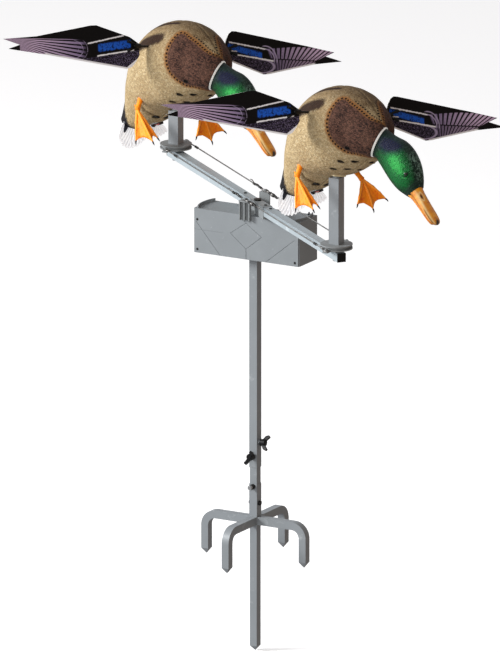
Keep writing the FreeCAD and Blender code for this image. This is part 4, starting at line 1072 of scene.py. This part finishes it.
def duck_eyes(label, place):
    """Two domed glass eyes with a raised lid round each."""
    where = np.interp(EYE_REACH, [row[0] for row in HEAD_STATIONS], range(len(HEAD_STATIONS)))
    d, rise, wide, tall = smooth_rows(HEAD_STATIONS, np.array([where]))[0]
    turn, spin, tilts = math.radians(EYE_TURN), full_turn(32), np.radians([2, 20, 40, 60, 80, 100])
    eyes, lids = Build(), Build()
    for hand in (-1, 1):
        out = HEAD_LEFT * hand * math.sin(turn) + HEAD_UP * math.cos(turn)
        centre = head_point(d, rise, hand * wide * EYE_SINK * math.sin(turn),
                            tall * EYE_SINK * math.cos(turn))
        circle = np.outer(np.cos(spin), HEAD_AHEAD) + np.outer(np.sin(spin), np.cross(out, HEAD_AHEAD))
        dome = np.array([centre + circle * EYE_RADIUS * math.sin(tilt)
                         + out * EYE_RADIUS * 0.75 * math.cos(tilt) for tilt in tilts])
        eyes.grid(dome, True, (True, True), across=np.sin(tilts)[:, None] * np.ones(len(spin)))
        rim = np.array([centre + circle * radius + out * lift for radius, lift in LID_PROFILE])
        lids.grid(rim, True, glow=0.1, shine=0, nape=0, crown=0.9, fleck=0, reach=50,
                  girth=spin * 9 * np.ones(rim.shape[:2]))
    duck_piece(eyes, label, "eyes", [EYE], place, "head_paint")
    duck_piece(lids, label, "eyelids", [FINISHES["head_paint"]], place, "head_paint")


# ---- duck: feet and tail ------------------------------------------------------------------------------

# Each foot: hip, ankle and its three toe tips.
FEET = {
    "right": ((-52, -62, 18), (-40, -76, -14), [(-4, -90, -78), (38, -71, -71), (27, -53, -64)]),
    "left": ((-24, 55, 14), (2, 66, -6), [(46, 36, -54), (45, 78, -63), (30, 116, -42)]),
}


WEB_HALF, TOE_ARCH = 0.75, 3.5


def web_foot(build, claws, hip, ankle, tips):
    """A knobbly shank, three jointed toes, the scalloped web between them and a claw on each toe."""
    hip, ankle = np.array(hip, float), np.array(ankle, float)
    tips = [np.array(tip, float) for tip in tips]
    line = np.linspace(0, 1, 14)[:, None]
    shank = hip * (1 - line) + ankle * line
    build.tube(shank, 5.2 + 2.6 * (1 - line[:, 0]) ** 2 + 1.2 * bell(line[:, 0] - 0.95, 0.12), 14, toe=0.2)
    back = ankle + (ankle - tips[1]) * 0.16
    build.tube(np.array([ankle, (ankle + back) / 2 + (0, 0, 1), back]), [4.0, 2.4, 1.0], 10, toe=0.4)
    normal = unit(np.cross(tips[2] - ankle, tips[0] - ankle))
    if normal[0] < 0:
        normal = -normal
    for tip in tips:
        share = np.linspace(0, 1, 22)
        path = ankle + (tip - ankle) * share[:, None] + normal * (TOE_ARCH * np.sin(share * math.pi))[:, None]
        joints = bell(share - 0.42, 0.05) + bell(share - 0.72, 0.05)
        build.tube(path, 3.7 - 1.9 * share + 0.8 * joints, 12, toe=1.0)
        way = unit(tip - ankle)
        hook = np.array([tip - way * 2, tip + way * 3 + normal * 0.6, tip + way * 6.5 - normal * 0.4,
                         tip + way * 9 - normal * 2.2])
        claws.tube(hook, [1.9, 1.7, 1.1, 0.3], 8)
    share = np.linspace(0, 1, 19)
    reach = np.linspace(0.03, 1, 24)[:, None]
    for first, second in zip(tips, tips[1:]):
        edge = first[None] * (1 - share[:, None]) + second[None] * share[:, None]
        edge = edge - (edge - ankle) * (0.62 * share * (1 - share))[:, None]
        fan = ankle + (edge - ankle)[None] * reach[..., None]
        crest = TOE_ARCH * np.sin(reach * math.pi) + 1.4 * np.sin(share * math.pi * 5)[None] * reach * 0.35
        sag = -2.4 * np.sin(share * math.pi)[None] * reach
        fan = fan + normal * (crest + sag)[..., None]
        loop = np.concatenate([fan + normal * WEB_HALF, (fan - normal * WEB_HALF)[:, ::-1]], axis=1)
        build.grid(loop, True, (True, True), toe=0.15)


def duck_feet(label, place):
    build, claws = Build(), Build()
    for hip, ankle, tips in FEET.values():
        web_foot(build, claws, hip, ankle, tips)
    duck_piece(build, label, "webbed_feet", [FINISHES["foot_paint"]], place, "foot_paint", [f"{label}_feet"])
    duck_piece(claws, label, "claws", [BLACK], place, "foot_paint")


TAIL_ROOT = np.array([-164, -2, -50.0])
TAIL_PITCH = math.radians(79)
TAIL_FACE = np.array([math.sin(TAIL_PITCH), 0, -math.cos(TAIL_PITCH)])
TAIL_SPREAD, TAIL_SPACING = math.radians(3.2), 4.4
# Each further pair of tail feathers starts this much up and ahead of the one inside it.
TAIL_STEP = np.array([0.77, 0, -0.64]) * 0.9
SIDE_FEATHER_ROOT = np.array([10, 20, 14])
COVERT_ROOT = np.array([-112, 20, -60.0])
COVERT_MIDDLE, COVERT_SPREAD = 22, 11


def feather(build, root, way, length, width, cup, material=0):
    """One flat rounded feather: a cupped vane, thicker along its shaft, with a split or two in its edge."""
    side = unit(np.cross(way, TAIL_FACE))
    normal = np.cross(way, side)
    along = np.linspace(0, 1, 40)
    across = np.linspace(-1, 1, 15)
    half = width * np.sqrt(np.clip(np.sin(np.clip(along * 0.86 + 0.14, 0, 1) * math.pi) ** 0.9, 0, 1))
    half = half * (1 - 0.12 * (np.abs(((along * 7.3 + length) % 1) - 0.5) < 0.06))
    centre = root + way * (along * length)[:, None]
    sheet = (centre[:, None] + side * (half[:, None] * across)[..., None]
             - normal * (cup * across ** 2 + 2.5 * along[:, None] ** 2)[..., None])
    thick = (0.45 + 0.6 * bell(across, 0.12))[None, :, None]
    loop = np.concatenate([sheet + normal * thick, (sheet - normal * thick)[:, ::-1]], axis=1)
    values = np.concatenate([across, across[::-1]])[None] * np.ones((len(along), 1))
    build.grid(loop, True, (True, True), material, across=values,
               reach=(along * length)[:, None] * np.ones(values.shape))


def duck_tail(label, place):
    """A fan of white feathers, a dark one at each side of its root, and a smaller fan of coverts ahead."""
    build = Build()
    for offset in range(-4, 5):
        spread = TAIL_SPREAD * offset
        way = np.array([-math.cos(TAIL_PITCH) * math.cos(spread), math.sin(spread),
                        -math.sin(TAIL_PITCH) * math.cos(spread)])
        root = TAIL_ROOT + np.array([0, offset * TAIL_SPACING, 0]) + TAIL_STEP * abs(offset)
        feather(build, root, way, 80 - 1.3 * offset ** 2, 10.5, 2.2)
    for hand in (-1, 1):
        mirror = np.array([1, hand, 1])
        feather(build, TAIL_ROOT + SIDE_FEATHER_ROOT * mirror, unit(np.array([-0.22, 0.10, -0.97])) * mirror,
                56, 6.5, 2.0, 1)
    duck_piece(build, label, "tail_feathers", [FINISHES["tail_paint"], DARK_FEATHER], place, "tail_paint",
               [f"{label}_tail"])
    coverts = Build()
    for index in range(-3, 4):
        spread = math.radians(COVERT_MIDDLE + index * COVERT_SPREAD)
        way = unit(np.array([-0.1 * math.cos(spread), math.sin(spread), -0.99 * math.cos(spread)]))
        feather(coverts, COVERT_ROOT + np.array([0, index * 3.6, 0]), way, 32 - 2 * abs(index), 5, 1.5)
    duck_piece(coverts, label, "undertail_coverts", [FINISHES["tail_paint"]], place, "tail_paint")


# ---- duck: wings --------------------------------------------------------------------------------------

WING_AT = np.array([-10.0, 0, 138.0])
WING_ROOT = 122
WING_TILT, WING_SWEEP = math.radians(-15), math.radians(6)
WING_LIFT = np.array([math.sin(WING_TILT), 0, math.cos(WING_TILT)])
WING_AHEAD = np.array([math.cos(WING_TILT), 0, -math.sin(WING_TILT)])
# One blade, from its root outboard along one edge to the forked tip and back along the other.
WING_OUTLINE = [(-9, -5), (-10, -20), (-2, -34), (8, -47), (21, -52), (224, -25), (314, -15), (285, -5),
                (327, 7), (245, 15), (112, 43), (97, 44), (15, 20), (-9, 5)]
LEFT_OUTLINE = [(-9, -5), (-10, -20), (-6, -34), (0, -45), (9, -51), (20, -51), (224, -25), (300, -14),
                (276, -4), (322, 6), (245, 15), (116, 42), (100, 43.5), (15, 20), (-9, 5)]
WING_DROP = 9
# The blade is cut into square cells from low to high along its length and across it.
WING_CELL, WING_CUTS = 9, ((0, -8, 325), (1, -50, 44))
BLADE = 1.9


def duck_wing(label, side, place):
    """A flat printed blade with a slight camber; the printed face is up."""
    out = np.array([0, side, 0]) * math.cos(WING_SWEEP) - WING_AHEAD * math.sin(WING_SWEEP)
    hand = -side
    flipped = WING_LIFT * hand
    normal = np.cross(out, flipped)
    root = WING_AT + np.array([0, side * WING_ROOT, 0]) - WING_LIFT * (WING_DROP if side > 0 else 0)
    outline = LEFT_OUTLINE if side > 0 else WING_OUTLINE

    work = bmesh.new()
    work.faces.new([work.verts.new((s, t, 0)) for s, t in outline])
    for axis, low, high in WING_CUTS:
        for step in range(int((high - low) / WING_CELL) + 1):
            spot, way = [0, 0, 0], [0, 0, 0]
            spot[axis], way[axis] = low + step * WING_CELL, 1
            bmesh.ops.bisect_plane(work, geom=work.verts[:] + work.edges[:] + work.faces[:], dist=0.01,
                                   plane_co=spot, plane_no=way)
    bmesh.ops.triangulate(work, faces=[face for face in work.faces if len(face.verts) > 4])
    flat = np.array([vertex.co for vertex in work.verts])
    work.verts.index_update()
    quads = [[vertex.index for vertex in face.verts] for face in work.faces]
    work.free()

    span, chord = flat[:, 0], flat[:, 1]
    camber = 0.7 * np.sin(np.clip(span / 320, 0, 1) * math.pi) + 0.25 * np.sin(chord * 0.35 + span * 0.03)
    points = root + out * span[:, None] + flipped * chord[:, None] + normal * camber[:, None]
    build = Build()
    build.add(points, quads, 0, span=span, chord=chord * hand)
    name = "left" if side > 0 else "right"
    print_side = LEFT_PRINT if side > 0 else FINISHES["wing_print"]
    thing = build.piece(f"{label}_{name}_blade", [print_side, FLASH], f"{label}_wings",
                        [f"{label}_{name}_wing"], place, "wing_print", smooth=False)
    if VIEW_FROM @ (place.to_3x3() @ thing.data.polygons[0].normal) < 0:
        thing.data.flip_normals()
    thicken(thing, "film", BLADE, 0, 1)


def wing_hub(label, place):
    """The clamp at each blade's root: two flared jaws, a screw and the bent end of the shaft."""
    build = Build()
    for side in (-1, 1):
        out = np.array([0, side, 0.0])
        centre = WING_AT + out * (WING_ROOT + 3)
        for hand in (-1, 1):
            share = np.linspace(0, 1, 9)[:, None]
            path = centre + out * (share * 26 - 8) + WING_LIFT * hand * (1.6 + share * 9)
            build.tube(path, 3.2 + 3.8 * share[:, 0] ** 1.4, 10, 0, 0.55)
        build.tube(centre + WING_AHEAD * np.linspace(-6, 6, 5)[:, None], [3.0, 3.4, 3.4, 3.4, 3.0], 12)
        build.tube(centre + out * np.linspace(-16, -2, 5)[:, None], [2.9, 4.4, 5.6, 5.9, 5.2], 16)
    duck_piece(build, label, "wing_clamps", [BLACK], place, "black_plastic", body="wings")


# ---- duck: underside fittings -------------------------------------------------------------------------

# Sections of the post's socket (half width and height) and of a screw (radius and depth).
SOCKET_PROFILE = [(13.2, 1), (15.4, 1), (16.6, 5), (17.5, 19), (13.2, 19), (13.2, 1)]
SCREW_PROFILE = [(0.6, 1.4), (2.6, 1.2), (3.5, 0.0), (4.1, -0.9), (4.4, 0.4), (3.6, 4.0)]
JACK_SEAT, JACK_OUT = np.array([-106, 12, -60.0]), np.array([0.396, 0, -0.918])
# A screw aims at a point inside the body: this share of its own x, this much further back, and this height.
SCREW_AIM = (0.35, -10, 60.0)


def post_socket(label, place):
    """The cream collar round the post, square with rounded corners."""
    turn = full_turn(48)
    square = np.maximum(np.abs(np.cos(turn)), np.abs(np.sin(turn))) ** 0.85
    build = Build()
    outline = np.stack([np.cos(turn) / square, np.sin(turn) / square, 0 * turn], -1)
    build.grid(np.array([outline * reach + (0, 0, height) for reach, height in SOCKET_PROFILE]), True)
    duck_piece(build, label, "post_socket", [CREAM], place, "body_paint")


def charge_jack(label, place):
    """A round socket with a smaller ring in it, under the belly."""
    build = Build()
    build.tube(JACK_SEAT + JACK_OUT * np.linspace(-3, 3, 4)[:, None], [6.2, 6.2, 6.0, 5.2], 20)
    build.tube(JACK_SEAT + JACK_OUT * np.linspace(2, 5, 3)[:, None], [3.4, 3.4, 2.6], 16)
    duck_piece(build, label, "charge_jack", [BLACK], place, "black_plastic")


def shell_screws(label, place):
    """An oval sunk screw in each hole, pointing at the middle of the body."""
    build, spin = Build(), full_turn(32)
    share, back, height = SCREW_AIM
    for station, angle in SCREW_HOLES:
        for side in (-1, 1):
            spot = body_points(np.array([station]), np.array([angle * side]))[0]
            way = unit(np.array([spot[0] * share + back, 0, height]) - spot)
            slant = screw_slant(side)
            slant = unit(slant - way * (slant @ way))
            oval = np.outer(np.cos(spin) * SCREW_STRETCH, slant)
            oval = oval + np.outer(np.sin(spin), np.cross(way, slant))
            build.grid(np.array([spot + oval * radius + way * depth for radius, depth in SCREW_PROFILE]),
                       True, (True, True))
    duck_piece(build, label, "shell_screws", [FINISHES["dark_steel"]], place, "dark_steel")


def duck_place(label):
    """The duck's own frame, from the top of its post."""
    low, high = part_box(f"{label}_post")
    middle = (low + high) / 2
    return Matrix.Translation((middle.x, middle.y, high.z - POST_PLUG)) @ DUCK_TURN


for label in SIDES:
    place = duck_place(label)
    for side in (-1, 1):
        duck_body(label, side, place)
        duck_wing(label, side, place)
    duck_head(label, place)
    neck_ring(label, place)
    duck_bill(label, place)
    duck_eyes(label, place)
    duck_feet(label, place)
    duck_tail(label, place)
    wing_hub(label, place)
    post_socket(label, place)
    charge_jack(label, place)
    shell_screws(label, place)


# ---- cables -------------------------------------------------------------------------------------------

STRANDS = 6
STRAND_RADIUS, CORE_RADIUS, TAG_RADIUS = 0.62, 0.5, 1.15
LAY_RADIUS = 1.0
LAY_LENGTH = 17
LOOP_HALF, OUTER_LOOP, INNER_LOOP = 5.6, 24, 26
# The rope runs between these distances from the middle pin and from each outer pin.
ROPE_START, ROPE_END = 20, 12
EYELET_RADIUS = 6.5
SLEEVE_RADIUS = 2.8
# Sleeves: distance from the outer pin and length; from the middle pin, sideways drift and length.
OUTER_SLEEVE = (64, 15)
INNER_SLEEVES = [(30, -0.6, 14), (52, 1.1, 14), (66, -0.6, 11)]
TAG_START, TAG_LENGTH = 72, 24
COIL_START, COIL_LENGTH, COIL_RADIUS, COIL_TURNS = 40, 10, 3.6, 4.5


def strand_rope(build, start, end, phase=0.0):
    """A straight rope of twisted strands round a core."""
    length = np.linalg.norm(end - start)
    way = unit(end - start)
    side = unit(np.cross(way, (0, 0, 1.0)))
    up = np.cross(side, way)
    along = np.linspace(0, length, int(length / 1.9))
    for index in range(STRANDS):
        turn = phase + index * 2 * math.pi / STRANDS + along * 2 * math.pi / LAY_LENGTH
        path = (start + way * along[:, None]
                + LAY_RADIUS * (np.cos(turn)[:, None] * side + np.sin(turn)[:, None] * up))
        build.tube(path, STRAND_RADIUS, 5)
    build.tube(start + way * np.linspace(0, length, 12)[:, None], CORE_RADIUS, 5)


def wire_loop(build, centre, way, side, up, reach):
    """A teardrop loop of cable round a pin."""
    turn = np.linspace(0, 2 * math.pi, 40)
    shape = LOOP_HALF * np.sin(turn) * np.clip(1.15 - 0.55 * (1 - np.cos(turn)) / 2, 0, 1)
    path = (centre + way * (reach * (1 - np.cos(turn)) / 2)[:, None] - way * LOOP_HALF
            + side * shape[:, None] + up * (0.9 * np.sin(turn * 2))[:, None])
    build.tube(path, TAG_RADIUS, 8)


def ferrule(build, centre, way, length):
    """A pressed sleeve with two squeezed waists."""
    share = np.linspace(0, 1, 21)
    pinch = 1 - 0.22 * bell(share - 0.32, 0.07) - 0.22 * bell(share - 0.68, 0.07)
    ends = np.clip(np.minimum(share, 1 - share) * 12 + 0.72, 0, 1)
    build.tube(centre + way * ((share - 0.5) * length)[:, None], SLEEVE_RADIUS * pinch * ends, 14)


def cable_rope(label, hand):
    """One steadying cable: two rope runs, thimble loops at its three pins, ferrules and loose tag ends."""
    low, high = (np.array(corner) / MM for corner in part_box(label))
    middle = (low + high) / 2
    reach = (high - low)[:2]
    line = np.array([reach[0], -reach[1], 0.0])
    span = np.linalg.norm(line) / 2 - EYELET_RADIUS
    line = unit(line)
    side, up = np.array([-line[1], line[0], 0.0]), np.array([0, 0, 1.0])
    rope, sleeves = Build(), Build()
    for end in (-1, 1):
        way = line * end
        strand_rope(rope, middle + way * ROPE_START, middle + way * (span - ROPE_END), end)
        tip = middle + way * span
        wire_loop(rope, tip, -way, side, up, OUTER_LOOP)
        ferrule(sleeves, tip - way * OUTER_SLEEVE[0], line, OUTER_SLEEVE[1])
        wire_loop(rope, middle, way, side, up, INNER_LOOP)
        for distance, drift, length in INNER_SLEEVES:
            ferrule(sleeves, middle + way * distance + side * drift, line, length)
        loose = np.linspace(0, 1, 16)[:, None]
        tag = (middle + way * (TAG_START + loose * TAG_LENGTH)
               + up * (2.0 + 2.4 * np.sin(loose * 2.6) * loose)
               + side * hand * (1.6 * loose + 1.4 * np.sin(loose * 3)))
        rope.tube(tag, TAG_RADIUS, 8)
    wraps = np.linspace(0, 1, 90)[:, None]
    turn = wraps * COIL_TURNS * 2 * math.pi
    coil = (middle + line * (COIL_START + wraps * COIL_LENGTH)
            + COIL_RADIUS * (np.cos(turn) * side + np.sin(turn) * up))
    rope.tube(coil, 0.8, 6)
    outward(rope.piece(f"{label}_rope", [FINISHES["cable_steel"]], label, [label], None, "cable_steel"))
    outward(sleeves.piece(f"{label}_ferrules", [FINISHES["dark_steel"]], label, (), None, "cable_steel"))


cable_rope("front_cable", -1)
cable_rope("back_cable", 1)
